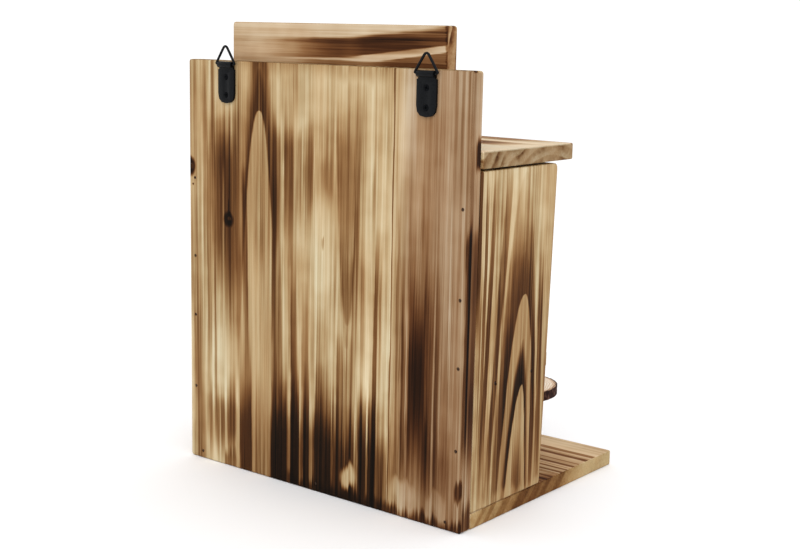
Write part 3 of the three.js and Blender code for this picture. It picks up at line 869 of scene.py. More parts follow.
@dataclass(frozen=True)
class LogSlice(Finish):
    """End grain of a branch, sawn and sanded, warmed by the torch near its bark.

    Gives the eye thin rings about a heart, fine drying cracks and a pinkish cream colour. Lengths
    are in millimetres. Each crack has its direction, in radians, and its length.
    """

    middle: Place
    heart: Place
    radius: float
    turn: float = 0.0
    cracks: tuple[Pair, ...] = ((0.5, 21), (2.2, 13), (3.3, 17), (5.1, 24))

    STOPS = (
        (0.0, "f0e2cf"), (0.2, "e3c9ab"), (0.45, "c39a72"), (0.75, "6c452c"), (1.0, "2c1a14"),
    )
    RING = 1.9
    WARP = 7.0
    LINE_SHADE = 0.33
    CRACK_BEND = 5.0
    CRACK_HALF = 0.32
    # How far in from the edge the torch's warmth begins and is full, and its shade
    RIM = (4, 0.6, 0.5)

    # Ranges: the first two numbers become the last two
    LATE_WOOD = (0.35, 0.95, 0, 1)
    CORE = (1, 13, 0.26, 0)
    CRACK_EDGE = (-0.15, 0.15, 0, 0.8)
    SPECKS = (0.3, 0.7, -0.07, 0.1)

    def draw(self, tree: Tree) -> Socket:
        """Draws the rings round the heart, and the cracks that run out from it.

        Args:
            tree: The material's tree.

        Returns:
            The shader.
        """
        coords = add_node(tree, "TexCoord").node.outputs
        place = add_node(tree, "VectorMath", (coords["Object"], TO_MM), operation="MULTIPLY")
        local = add_node(tree, "VectorMath", (place, self.middle), operation="SUBTRACT")
        flat = add_node(tree, "VectorMath", (local, (1, 1, 0)), operation="MULTIPLY")
        out = add_node(tree, "VectorMath", (flat,), operation="LENGTH")
        off = add_node(tree, "VectorMath", (flat, self.heart), operation="SUBTRACT")
        away = add_node(tree, "VectorMath", (off,), operation="LENGTH")
        slow = add_node(tree, "TexNoise", {"Vector": place, "Scale": 0.06, "Detail": 2.0})
        warped = add_node(tree, "Math", (slow, self.WARP, away), operation="MULTIPLY_ADD")
        rings = add_node(tree, "Math", (warped, 1 / self.RING), operation="MULTIPLY")
        phase = add_node(tree, "Math", (rings,), operation="FRACT")
        line = add_node(tree, "MapRange", (phase, *self.LATE_WOOD), **SMOOTH)
        speck = add_node(tree, "TexNoise", {
            "Vector": place, "Scale": 1.3, "Detail": 3.0, "Roughness": 0.7,
        })
        begins, full, warmth = self.RIM
        warmed = (out, self.radius - begins, self.radius - full, 0, warmth)
        rim = add_node(tree, "MapRange", warmed, **SMOOTH)
        core = add_node(tree, "MapRange", (away, *self.CORE), interpolation_type="SMOOTHSTEP")
        shade = add_node(tree, "Math", (line, self.LINE_SHADE, rim), operation="MULTIPLY_ADD")
        shade = add_node(tree, "Math", (shade, core), operation="ADD")
        for angle, reach in self.cracks:
            shade = self.cracked(tree, off, slow, shade, angle + self.turn, reach)
        mixed = add_node(tree, "MapRange", (speck, *self.SPECKS))
        total = add_node(tree, "Math", (shade, mixed), operation="ADD", use_clamp=True)
        colour = add_node(tree, "ValToRGB", {"Fac": total}, stops=self.STOPS)
        bump = add_node(tree, "Bump", {"Strength": 0.3, "Distance": 0.2 * MM, "Height": speck})
        return add_node(tree, "BsdfPrincipled", {
            "Base Color": colour, "Roughness": 0.6, "Normal": bump, "Specular IOR Level": 0.35,
        })

    def cracked(
        self, tree: Tree, off: Socket, sway: Socket, shade: Socket, angle: float, reach: float
    ) -> Socket:
        """Darkens a drying crack that narrows outwards from the heart.

        Args:
            tree: The material's tree.
            off: The place from the heart, in millimetres.
            sway: The noise that bends the crack.
            shade: The wood's shade.
            angle: The crack's direction, in radians.
            reach: Its length, in millimetres.

        Returns:
            The shade with the crack.
        """
        ahead = (math.cos(angle), math.sin(angle), 0)
        aside = (-math.sin(angle), math.cos(angle), 0)
        along = add_node(tree, "VectorMath", (off, ahead), operation="DOT_PRODUCT")
        across = add_node(tree, "VectorMath", (off, aside), operation="DOT_PRODUCT")
        bend = add_node(tree, "Math", (sway, 0.5), operation="SUBTRACT")
        bent = add_node(tree, "Math", (bend, self.CRACK_BEND, across), operation="MULTIPLY_ADD")
        away = add_node(tree, "Math", (bent,), operation="ABSOLUTE")
        narrowing = (along, 0, reach, self.CRACK_HALF, -self.CRACK_HALF)
        half = add_node(tree, "MapRange", narrowing)
        inside = add_node(tree, "Math", (half, away), operation="SUBTRACT")
        gap = add_node(tree, "MapRange", (inside, *self.CRACK_EDGE))
        forward = add_node(tree, "Math", (along, 0), operation="GREATER_THAN")
        return add_node(tree, "Math", (gap, forward, shade), operation="MULTIPLY_ADD")


@dataclass(frozen=True)
class Bark(Finish):
    """Rough bark, charred on its ridges.

    Gives the eye dark maroon plates between paler cracks that run up the stem.
    """

    # The plates are drawn out along the stem
    STRETCH = (1000, 1000, 420)
    PLATES = (0, 0.3, 0, 1)
    PLATE_SHADE = 0.45
    STOPS = ((0.3, "120a09"), (0.5, "24120e"), (0.7, "3a2019"), (0.95, "5d4034"))

    def draw(self, tree: Tree) -> Socket:
        """Draws the bark's plates.

        Args:
            tree: The material's tree.

        Returns:
            The shader.
        """
        coords = add_node(tree, "TexCoord").node.outputs
        place = add_node(tree, "VectorMath", (coords["Object"], self.STRETCH), operation="MULTIPLY")
        plates = add_node(
            tree, "TexVoronoi", {"Vector": place, "Scale": 0.35, "Randomness": 0.9},
            feature="DISTANCE_TO_EDGE",
        )
        crumbs = add_node(tree, "TexNoise", {
            "Vector": place, "Scale": 0.55, "Detail": 4.0, "Roughness": 0.7,
        })
        shade = add_node(tree, "MapRange", (plates, *self.PLATES))
        total = add_node(tree, "Math", (shade, self.PLATE_SHADE, crumbs), operation="MULTIPLY_ADD")
        colour = add_node(tree, "ValToRGB", {"Fac": total}, stops=self.STOPS)
        bump = add_node(tree, "Bump", {"Strength": 0.7, "Distance": 0.6 * MM, "Height": total})
        return add_node(tree, "BsdfPrincipled", {
            "Base Color": colour, "Roughness": 0.86, "Normal": bump, "Specular IOR Level": 0.12,
        })


@dataclass(frozen=True)
class BlackSteel(Finish):
    """Mild steel under thin black satin lacquer, with a faint mottle.

    Gives the eye soft grey sheens on the folds and a near black face.
    """

    roughness: float = 0.36
    sheen: float = 0.1

    MOTTLE = (0.3, 0.7)
    # How far the mottle takes the roughness down and up
    UNEVEN = (0.06, 0.1)
    STOPS = ((0.3, "060708"), (0.7, "0f1114"))

    def draw(self, tree: Tree) -> Socket:
        """Draws the lacquer.

        Args:
            tree: The material's tree.

        Returns:
            The shader.
        """
        coords = add_node(tree, "TexCoord").node.outputs
        mottle = add_node(tree, "TexNoise", {
            "Vector": coords["Object"], "Scale": 900.0, "Detail": 3.0,
        })
        colour = add_node(tree, "ValToRGB", {"Fac": mottle}, stops=self.STOPS)
        down, up = self.UNEVEN
        uneven = (mottle, *self.MOTTLE, self.roughness - down, self.roughness + up)
        rough = add_node(tree, "MapRange", uneven)
        bump = add_node(tree, "Bump", {"Strength": 0.15, "Distance": 0.1 * MM, "Height": mottle})
        return add_node(tree, "BsdfPrincipled", {
            "Base Color": colour, "Roughness": rough, "Normal": bump,
            "Specular IOR Level": self.sheen,
        })


@dataclass(frozen=True)
class DullSteel(Finish):
    """Bright nail wire, dulled and darkened by the torch.

    Gives the eye small brown to black dots with a weak metal glint.
    """

    ROUGHNESS = (0, 1, 0.35, 0.6)
    STOPS = ((0.35, "2a1e19"), (0.7, "5d4a3e"))

    def draw(self, tree: Tree) -> Socket:
        """Draws the darkened metal.

        Args:
            tree: The material's tree.

        Returns:
            The shader.
        """
        coords = add_node(tree, "TexCoord").node.outputs
        mottle = add_node(tree, "TexNoise", {
            "Vector": coords["Object"], "Scale": 1500.0, "Detail": 3.0,
        })
        colour = add_node(tree, "ValToRGB", {"Fac": mottle}, stops=self.STOPS)
        rough = add_node(tree, "MapRange", (mottle, *self.ROUGHNESS))
        return add_node(tree, "BsdfPrincipled", {
            "Base Color": colour, "Roughness": rough, "Metallic": 1.0,
        })


@dataclass(frozen=True)
class ClearAcrylic(Finish):
    """Clear acrylic sheet with polished faces and fine wiping marks.

    Gives the eye a see-through pane with sharp reflections and slightly cloudy scratches.
    """

    # The marks are drawn out across the pane
    STRETCH = (90, 600, 900)
    ROUGHNESS = (0.45, 0.8, 0.02, 0.12)

    def draw(self, tree: Tree) -> Socket:
        """Draws the sheet.

        Args:
            tree: The material's tree.

        Returns:
            The shader.
        """
        coords = add_node(tree, "TexCoord").node.outputs
        wiped = add_node(tree, "VectorMath", (coords["Object"], self.STRETCH), operation="MULTIPLY")
        marks = add_node(tree, "TexNoise", {"Vector": wiped, "Scale": 1.0, "Detail": 4.0})
        rough = add_node(tree, "MapRange", (marks, *self.ROUGHNESS))
        return add_node(tree, "BsdfPrincipled", {
            "Base Color": linear("fdfefe"), "Roughness": rough, "IOR": 1.49,
            "Transmission Weight": 1.0, "Alpha": 0.3,
        })


# Modelling by operators


def new_object(name: str, data: bpy.types.ID) -> Piece:
    """Puts a new object in the scene.

    Args:
        name: The object's name.
        data: Its mesh, camera or light.

    Returns:
        The object.
    """
    made = bpy.data.objects.new(name, data)
    bpy.context.scene.collection.objects.link(made)
    return made


def select_only(piece: Piece) -> None:
    """Makes one object the only selected and the active one.

    Args:
        piece: The object.
    """
    bpy.ops.object.select_all(action="DESELECT")
    piece.select_set(True)
    bpy.context.view_layer.objects.active = piece


@contextmanager
def editing(piece: Piece) -> Iterator[None]:
    """Puts a piece in edit mode, all of it selected, for as long as a with block lasts.

    Args:
        piece: The piece.

    Yields:
        Nothing.
    """
    select_only(piece)
    bpy.ops.object.mode_set(mode="EDIT")
    bpy.ops.mesh.select_all(action="SELECT")
    yield
    bpy.ops.object.mode_set(mode="OBJECT")


def pick(piece: Piece, kind: str, rule: Callable[[bpy.types.bpy_struct], bool]) -> None:
    """Selects faces, edges or vertices of a piece in edit mode by their place or normal.

    Args:
        piece: The piece, in edit mode.
        kind: FACE, EDGE or VERT.
        rule: Says of each element whether it is selected.
    """
    bpy.ops.mesh.select_mode(type=kind)
    bpy.ops.mesh.select_all(action="DESELECT")
    bpy.ops.object.mode_set(mode="OBJECT")
    mesh = piece.data
    elements = {"FACE": mesh.polygons, "EDGE": mesh.edges, "VERT": mesh.vertices}[kind]
    for element in elements:
        element.select = bool(rule(element))
    bpy.ops.object.mode_set(mode="EDIT")


def settle(piece: Piece) -> None:
    """Applies a piece's place to its mesh, so that its object sits at the origin."""
    select_only(piece)
    bpy.ops.object.transform_apply(location=True, rotation=True, scale=True)


def finish_modifier(piece: Piece, kind: str, **settings: object) -> None:
    """Adds a modifier to a piece and applies it.

    Args:
        piece: The piece.
        kind: The modifier's type.
        settings: Its properties.
    """
    select_only(piece)
    modifier = piece.modifiers.new(kind.lower(), kind)
    for name, value in settings.items():
        setattr(modifier, name, value)
    bpy.ops.object.modifier_apply(modifier=modifier.name)


def merged_copy(node: str, name: str) -> Piece:
    """Copies a CAD node's mesh into a new object whose triangles are joined up.

    Args:
        node: The CAD node.
        name: The new piece's name.

    Returns:
        The new piece.
    """
    mesh = frame["nodes"][node].data.copy()
    mesh.name = name
    mesh.materials.clear()
    piece = new_object(name, mesh)
    with editing(piece):
        bpy.ops.mesh.remove_doubles(threshold=JOIN_WITHIN)
        bpy.ops.mesh.customdata_custom_splitnormals_clear()
        bpy.ops.mesh.dissolve_limited(angle_limit=FLAT_ANGLE)
    return piece


def copy_to(model: Piece, name: str, place: Matrix) -> Piece:
    """Copies a finished piece, with its own mesh, to another place.

    Args:
        model: The piece to copy.
        name: The copy's name.
        place: Where the model's own origin goes, and how it is turned and scaled.

    Returns:
        The copy.
    """
    mesh = model.data.copy()
    mesh.name = name
    mesh.transform(place)
    return new_object(name, mesh)


def soften(piece: Piece) -> None:
    """Shades a piece smooth where its faces meet at a blunt angle."""
    select_only(piece)
    bpy.ops.object.shade_smooth_by_angle(angle=SMOOTH_ANGLE)


def body_of(node: str) -> Body:
    """Gives the body that a CAD node rides on."""
    return Body(frame["nodes"][node]["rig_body"])


@dataclass
class SubAssembly:
    """A group of pieces that are built and dressed together."""

    made: list[Piece] = field(default_factory=list, init=False)

    def dress(self, piece: Piece, finish: Finish) -> None:
        """Gives a piece its finish in place of any other.

        Args:
            piece: The new piece, or a CAD node that stays in view.
            finish: Its finish.
        """
        piece.data.materials.clear()
        piece.data.materials.append(finish.material())
        self.made.append(piece)

    def hand_over(self, piece: Piece, body: Body, finish: Finish, *nodes: str) -> None:
        """Dresses a new piece, puts it on its body and hides the CAD nodes that it stands for.

        Args:
            piece: The finished piece.
            body: The body it rides on.
            finish: Its finish.
            nodes: The CAD nodes that it replaces.
        """
        self.dress(piece, finish)
        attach(piece, body.value)
        if nodes:
            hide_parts(*nodes)


# The burn marks of the faces in the photograph

REAR_MARKS = (
    # Left edge to the olive scorch
    Streak((2, 2), (58, 58), (-60, 230), (2, 60), 0.08, (2, 8)),
    Streak((-4, -4), (7, 7), (-60, 210), (2, 70), 0.2, (1, 3)),
    Streak((13.2, 14), (16.6, 16.8), (-40, 190), (90, 110), 0.3, (2, 0.8)),
    Streak((17, 17.8), (19.6, 20.4), (20, 225), (50, 60), 0.36, (1, 1)),
    Streak((20.8, 21.4), (23, 23.2), (-20, 90), (2, 60), 0.24, (0.8, 1)),
    Streak((4.6, 5), (10.6, 13.2), (90, 320), (90, 8), 0.2, (1, 2.4)),
    Streak((7, 7.6), (13.8, 15), (215, 290), (34, 18), 0.2, (1, 1.4)),
    Streak((16.6, 17.4), (17.6, 19.6), (70, 250), (60, 40), 0.18, (1.4, 0.7)),
    Streak((18.6, 19), (21, 21.6), (206, 284), (24, 30), 0.24, (1, 1)),
    Streak((22, 24), (43, 47), (22, 190), (44, 110), 0.34, (5, 5)),
    Streak((25, 27), (33, 33), (24, 166), (40, 60), 0.34, (3, 2)),
    Streak((29, 33), (43.6, 44), (26, 224), (44, 120), 0.34, (3, 4)),
    Streak((4, 4), (9, 9), (150, 240), (30, 24), 0.2, (2, 2)),
    Streak((33, 35), (39, 41.6), (40, 196), (40, 70), 0.3, (3, 3)),
    Streak((23.4, 24), (25, 25.2), (96, 270), (60, 40), 0.26, (0.7, 0.7)),
    Streak((31.6, 32.4), (33, 33.8), (60, 250), (30, 60), 0.4, (0.6, 0.8), 0.8),
    Streak((45, 46.4), (51, 54), (96, 224), (40, 50), 0.24, (2, 2)),
    Streak((36.4, 36.6), (43, 43), (200, 280), (40, 30), 0.46, (1.6, 0.8)),
    Streak((34, 34), (47, 47), (262, 330), (8, 2), 0.4, (2, 2)),
    Streak((29.4, 30), (32.6, 33.2), (214, 280), (30, 30), 0.32, (1, 0.9)),
    Streak((25.6, 26), (27.4, 27.8), (210, 280), (30, 26), 0.3, (0.8, 0.8)),
    Streak((18, 18), (48, 48), (222, 270), (16, 26), 0.2, (4, 3)),
    Streak((46, 47), (60, 57), (4, 160), (40, 80), 0.3, (6, 3)),
    # The dark cathedral, its tan heart and its arms
    Arch((65, -24), 124, (15.6, 17.4), 1.9, 0.42, (-60, 170), (2, 90), (4, 2.4)),
    Arch((65, 4), 90, (13.4, 14.6), 2.0, 0.42, (-60, 120), (2, 50), (4, 1.4)),
    Streak((72, 76), (79, 82), (24, 136), (24, 60), 0.34, (1, 3)),
    Streak((59.6, 60), (71, 71), (-40, 60), (4, 36), 0.2, (5, 4)),
    Arch((65, 31), 70, (12.2, 11.2), 2.3, 0.92, (-60, 400), (1, 1), (0.9, 0.9), 0.72),
    Streak((53, 57.4), (76.4, 76.6), (90, 320), (50, 2), 0.9, (1, 0.8), 0.77),
    Streak((57, 58), (76.4, 76.6), (40, 130), (20, 60), 0.2, (2, 2), 0.5),
    Streak((50.4, 54.6), (52.8, 56.4), (60, 240), (30, 110), 0.5, (3, 1.2)),
    Streak((77, 77.8), (80, 80.4), (60, 320), (50, 2), 0.34, (1, 3)),
    Streak((61, 62), (68, 68), (92, 150), (20, 34), 0.12, (3, 3)),
    Streak((64.6, 64.6), (70.6, 71), (190, 320), (50, 2), 0.12, (5, 4)),
    Streak((58, 58), (76.4, 76.6), (196, 320), (70, 2), 0.26, (2, 0.6)),
    Streak((49.6, 49.6), (57.4, 58.2), (170, 320), (70, 16), 0.42, (3, 1.4)),
    Streak((48.6, 48.6), (58, 58.6), (206, 290), (40, 18), 0.5, (2, 1)),
    # Between the cathedral and the middle
    Streak((72, 72), (98, 98), (-60, 44), (2, 20), 0.12, (6, 8)),
    Streak((79, 79), (108, 108), (30, 124), (30, 60), 0.1, (4, 4)),
    Streak((72, 72), (112, 112), (20, 240), (70, 60), 0.1, (10, 10)),
    Streak((128, 128), (180, 178), (-60, 200), (2, 70), 0.1, (10, 4)),
    Streak((78, 78), (82, 83), (24, 130), (30, 60), 0.36, (2, 3)),
    Streak((79, 80), (84, 89), (104, 320), (60, 2), 0.3, (2, 2)),
    Streak((88.6, 89.6), (90.6, 91.4), (84, 220), (20, 34), 0.5, (0.8, 0.8), 0.84),
    Streak((77.6, 77.6), (90, 90), (182, 320), (66, 2), 0.86, (1, 2)),
    Streak((81.6, 82), (82.6, 83.2), (100, 250), (40, 30), 0.34, (0.6, 0.6), 0.6),
    Streak((87, 89.4), (93.4, 96.4), (18, 150), (40, 90), 0.44, (2, 3)),
    Streak((93.6, 95), (97, 101), (96, 320), (80, 2), 0.42, (0.8, 1.4)),
    Streak((94.8, 95), (101, 102), (172, 320), (66, 2), 0.86, (1, 1)),
    Streak((99.4, 100), (101.6, 102), (36, 112), (16, 40), 0.26, (1, 1)),
    Streak((100, 100), (104, 104), (190, 320), (60, 2), 0.14, (1, 1)),
    Streak((105.4, 106), (112, 111.4), (26, 124), (34, 60), 0.44, (1.4, 1)),
    Streak((104.6, 104.4), (108.6, 110), (118, 320), (90, 2), 0.34, (2, 0.8)),
    Streak((105.4, 105.6), (110, 110.6), (180, 320), (60, 2), 0.8, (0.8, 0.8)),
    # Middle stave
    Streak((112, 119), (130, 130), (24, 116), (44, 60), 0.12, (2, 3)),
    Streak((120, 121.6), (127, 127), (40, 110), (30, 50), 0.26, (3, 3)),
    Streak((117.6, 115.8), (126.6, 127.6), (118, 320), (110, 2), 0.24, (1.4, 1.2)),
    Streak((116.6, 114.6), (128.4, 129.8), (180, 320), (66, 2), 0.82, (1.6, 1.4)),
    Spot((121, 112), (13, 30), 0.5, 0.95),
    Spot((121, 112), (0.7, 3.6), 0.3),
    # The pointed flame
    Arch((141.6, 161), -139, (10.9, 10.9), 2.1, 0.27, (0, 400), (76, 1), (1.2, 1.2)),
    Streak((131, 133), (151, 149), (20, 106), (36, 56), 0.13, (0.8, 4)),
    Streak((130.8, 132), (134, 135), (36, 96), (30, 36), 0.16, (0.6, 3)),
    Arch((141.6, 176), -60, (7, 5), 2.0, 0.3, (106, 400), (34, 1), (2, 1.6)),
    Streak((134, 136), (147, 144), (160, 300), (30, 60), 0.34, (3, 3)),
    Streak((131, 131.6), (140, 139), (196, 320), (56, 2), 0.66, (1.2, 1.8)),
    Streak((142, 142), (148, 148), (204, 320), (40, 2), 0.56, (1.4, 1)),
    Streak((152, 152), (158, 158.4), (186, 320), (50, 2), 0.84, (0.9, 0.7)),
    Streak((152.6, 152.8), (156.2, 156.4), (90, 220), (60, 60), 0.16, (1, 0.8)),
    Streak((147.6, 145), (150.6, 148.6), (64, 196), (40, 50), 0.3, (1, 1)),
    Streak((164.6, 162), (166.4, 164.6), (84, 320), (60, 2), 0.44, (1, 1)),
    Streak((160.4, 160.2), (165.6, 165.4), (176, 320), (66, 2), 0.84, (0.7, 1.2)),
    Streak((166.6, 166), (172, 173), (196, 320), (50, 2), 0.3, (1, 2)),
    Streak((160.6, 160.4), (162.6, 162.8), (50, 110), (20, 40), 0.14, (1, 1)),
    Streak((167.8, 168), (168.8, 169), (90, 210), (50, 60), 0.26, (0.8, 0.8)),
    Streak((78, 78), (175, 175), (218, 320), (28, 2), 0.42, (4, 1)),
    # Right stave
    Streak((176.2, 176.2), (176.8, 176.8), (-20, 320), (2, 2), 0.5, (0.4, 0.5)),
    Streak((177, 177), (185, 186), (60, 320), (90, 20), 0.16, (1, 2)),
    Streak((179, 180), (190, 190), (30, 150), (40, 60), 0.16, (2, 3)),
    Streak((180.8, 181), (182, 182.2), (60, 262), (50, 40), 0.22, (0.6, 0.8)),
    Streak((184, 184.4), (186.8, 187.4), (90, 258), (60, 40), 0.2, (1, 1)),
    Streak((197, 192), (234, 234), (-60, 320), (2, 2), 0.14, (8, 2)),
    Streak((205, 203), (234, 234), (-20, 250), (2, 60), 0.1, (10, 2)),
    Streak((191, 191), (203, 203), (50, 262), (90, 50), 0.3, (3, 2)),
    Streak((185.6, 185.8), (188, 188.4), (130, 266), (50, 40), 0.4, (0.8, 0.8)),
    Streak((192, 191.8), (202, 202.6), (112, 250), (70, 50), 0.6, (2, 2)),
    Streak((195, 195), (200.4, 200), (130, 230), (50, 44), 0.5, (2, 2)),
    Streak((204.4, 205), (209.2, 209.2), (92, 275), (80, 50), 0.48, (1.2, 1)),
    Streak((210.8, 211.4), (213.2, 213.8), (106, 275), (70, 50), 0.38, (0.8, 1)),
    Streak((198.6, 199), (200, 200.4), (50, 150), (50, 30), 0.24, (0.8, 1)),
    Streak((216.4, 217), (220, 222), (150, 262), (60, 30), 0.16, (2, 2)),
    Streak((177, 177), (222, 220), (200, 266), (34, 20), 0.24, (2, 4)),
    Streak((224, 222), (229, 226), (196, 300), (40, 20), 0.16, (2, 2)),
    Streak((202, 201), (236, 236), (214, 330), (26, 2), 0.14, (5, 2)),
    Streak((100, 100), (240, 240), (266, 330), (7, 2), 0.62, (20, 2)),
    Streak((60, 60), (170, 170), (-60, 10), (2, 10), 0.16, (30, 10)),
    Streak((129, 130), (151, 151), (260, 330), (14, 2), 0.6, (2, 2)),
    Streak((232.2, 232.2), (246, 246), (90, 240), (12, 24), 0.5, (0.8, 1)),
    Spot((37, 97), (0.8, 6), 0.5, 0.0, 0.2),
    Spot((37, 104.4), (4.6, 5.2), 1.0, 0.0, 0.14),
    Spot((37.8, 104), (1.8, 1.4), 0.5, 0.36, 0.1),
    Spot((0.8, 71), (4.6, 6.4), 0.95, 0.02, 0.2),
    Spot((2.2, 71), (1.7, 2.4), 0.45, 0.36, 0.1),
    Spot((3, 83), (0.6, 0.8), 0.7, 0.0, 0.1),
    Spot((231, 249), (3.6, 7), 0.75, 0.12),
    Spot((144, 258), (6.4, 9), 0.85, 0.84),
    Spot((188, 257), (9, 8), 0.7, 0.84),
    Spot((214, 258), (8, 6), 0.36, 0.74),
)

# The edge of the back board beside the near side panel, on from the rear face
EDGE_MARKS = (
    Streak((231, 231), (235.6, 235.6), (88, 238), (12, 26), 0.74, (1, 1.2)),
    Streak((233, 233), (246, 246), (30, 260), (60, 60), 0.14, (1, 1)),
    Streak((235, 235), (246, 246), (80, 245), (22, 50), 0.42, (1, 1)),
    Streak((238, 238), (246, 246), (176, 250), (30, 30), 0.4, (1, 1)),
    # Dark on the front of the strip beside the lid's end, from the side panel's top to a little above
    # the lid
    Streak((239.6, 239.6), (248, 248), (34, 58), (8, 6), 0.8, (3, 1)),
    Streak((231, 231), (246, 246), (254, 330), (12, 2), 0.5, (1, 1)),
)

SIDE_MARKS = (
    # Painted shadow: a dark line down the upper part of the panel's rear edge, in the seam against
    # the back board
    Streak((-4, -4), (1.8, 1.8), (-20, 120), (2, 60), 0.6, (1, 1)),
    Streak((6.8, 4.4), (9, 6.4), (-10, 215), (60, 80), 0.54, (1, 0.8)),
    Streak((3, 2), (4.4, 3.4), (40, 215), (60, 80), 0.3, (0.8, 0.8)),
    Streak((8, 4), (13, 9), (120, 400), (60, 2), 0.16, (3, 2)),
    Streak((14.8, 5.6), (18.2, 8.9), (-16, 207), (90, 70), 0.56, (1.2, 0.8)),
    Streak((11.4, 8), (14.6, 10.4), (60, 180), (40, 60), 0.2, (1.5, 0.8)),
    Streak((16, 10), (28, 20), (40, 400), (90, 2), 0.16, (3, 2)),
    Streak((31.6, 19.2), (35.9, 25.4), (-24, 100), (100, 24), 0.46, (2, 1)),
    Streak((23.4, 11), (27, 15), (66, 224), (26, 70), 0.5, (1.4, 0.8)),
    Streak((31, 20), (64, 70), (60, 300), (90, 90), 0.18, (2, 2)),
    Arch((48, 3), 195, (28, 21.6), 2.15, 0.36, (-20, 250), (100, 100), (1.6, 0.7)),
    Arch((49, 12), 186, (25.4, 20), 2.15, 0.34, (16, 245), (64, 100), (4, 2)),
    Arch((50, 52), 146, (24, 17), 2.15, 0.26, (36, 300), (38, 130), (4, 2)),
    Streak((34, 25), (38, 29), (84, 210), (30, 90), 0.36, (2.4, 2)),
    Arch((51, 79), 122, (24.4, 15.6), 2.17, 0.92, (-60, 400), (1, 1), (0.9, 0.5), 0.66),
    Arch((51, 107), 93, (20, 9.8), 1.87, 0.4, (90, 400), (34, 130), (3, 0.8)),
    Arch((51, 112), 88, (19.4, 9), 1.87, 0.8, (102, 250), (30, 100), (3, 0.8)),
    Arch((51, 136.6), 71, (16.2, 7), 1.95, 0.94, (-60, 400), (1, 1), (0.8, 0.5), 0.72),
    Streak((45, 44), (51.6, 52), (160, 400), (40, 2), 0.42, (4, 4)),
    Streak((59, 64), (60.8, 65.4), (96, 300), (24, 2), 0.3, (0.6, 0.6), 0.7),
    Streak((59.6, 63), (63.6, 65.8), (84, 240), (36, 70), 0.6, (0.8, 0.8)),
    Streak((61.6, 67.4), (64.6, 69), (50, 172), (30, 20), 0.76, (0.8, 0.8), 0.78),
    Streak((66.8, 66), (68.8, 68.2), (152, 300), (20, 2), 0.76, (0.8, 0.8), 0.76),
    Streak((65.6, 69.6), (69.6, 74.4), (34, 230), (60, 60), 0.5, (0.9, 1.2)),
    Streak((70, 74), (90, 90), (20, 400), (60, 2), 0.1, (3, 1)),
    Streak((-9, -9), (99, 99), (199, 400), (6, 2), 0.5, (1, 1), 0.76),
    Spot((22, 131), (0.9, 0.9), 0.8, 0.0, 0.1),
)

SIGN_MARKS = (
    Streak((12.4, 14), (22, 25), (-40, 70), (2, 50), 0.12, (4, 2)),
    Streak((11.8, 10.2), (21.2, 20), (20, 114), (66, 24), 0.6, (3, 1)),
    Streak((10.6, 2.2), (20.6, 10), (90, 183), (24, 2), 0.62, (3, 1)),
    Streak((13, 7), (19, 15), (70, 175), (40, 30), 0.34, (3, 2)),
    Streak((24.4, 14), (34, 30), (110, 190), (30, 2), 0.5, (1, 2)),
    Streak((22.8, 22.8), (34, 34), (40, 200), (40, 2), 0.4, (0.8, 2)),
    Streak((-6, -6), (50, 50), (173, 400), (1.5, 2), 0.4, (1, 1)),
)

LID_MARKS = (
    Streak((50, 52), (64, 76), (0, 240), (36, 2), 0.5, (8, 8)),
    Streak((54, 56), (60, 70), (20, 240), (30, 2), 0.3, (6, 8)),
    Streak((86, 84), (99, 99), (6, 240), (36, 2), 0.45, (8, 8)),
    Streak((97.8, 97.8), (108, 108), (-50, 400), (2, 2), 0.4, (1.4, 1)),
    Streak((20, 24), (26, 28), (80, 240), (40, 20), 0.3, (4, 4)),
)

BASE_MARKS = (
    *(
        Streak(left, right, (-50, 400), (2, 2), strength, soft)
        for left, right, strength, soft in (
            ((66, 66), (142, 144), 0.12, (6, 6)),
            ((84, 84), (87, 88), 0.42, (1, 1)),
            ((92, 92), (94, 94), 0.42, (1, 1)),
            ((99, 98), (101.4, 100.6), 0.4, (1, 1)),
            ((104, 104), (106.4, 106), 0.44, (1, 1)),
            ((111, 111), (112.6, 112.6), 0.42, (0.8, 0.8)),
            ((115.4, 115.4), (116.4, 116.4), 0.2, (0.6, 0.6)),
            ((119, 119.6), (121.6, 121.8), 0.5, (1, 1)),
            ((127, 127), (128.4, 128.4), 0.22, (0.8, 0.8)),
            ((136, 136), (139.4, 139), 0.48, (1, 0.8)),
            ((145, 146), (148.6, 148.8), 0.42, (1, 1)),
        )
    ),
    Streak((20, 20), (96, 96), (-50, 20), (2, 20), 0.4, (4, 4)),
)

BASE_END_MARKS = tuple(
    Streak((left, left), (right, right), (-900, 900), (1, 1), strength, soft, clear)
    for left, right, strength, soft, clear in (
        (64, 100, 0.46, (56, 30), 0),
        (14, 16, 0.24, (2, 3), 0),
        (24, 27, 0.3, (3, 2), 0),
        (38, 44, 0.26, (4, 1), 0),
        (57, 66, 0.4, (5, 2), 0),
        (73, 79, 0.3, (1, 4), 0),
        (88, 92, 0.34, (5, 1), 0),
        (104, 109, 0.34, (4, 2), 0),
        (152, 160, 0.14, (2, 6), 0),
        (138, 190, 0.6, (16, 1), 1),
    )
)

# Where a tint begins and is full that covers the whole of a face
ALL_OVER = (-99, -98)

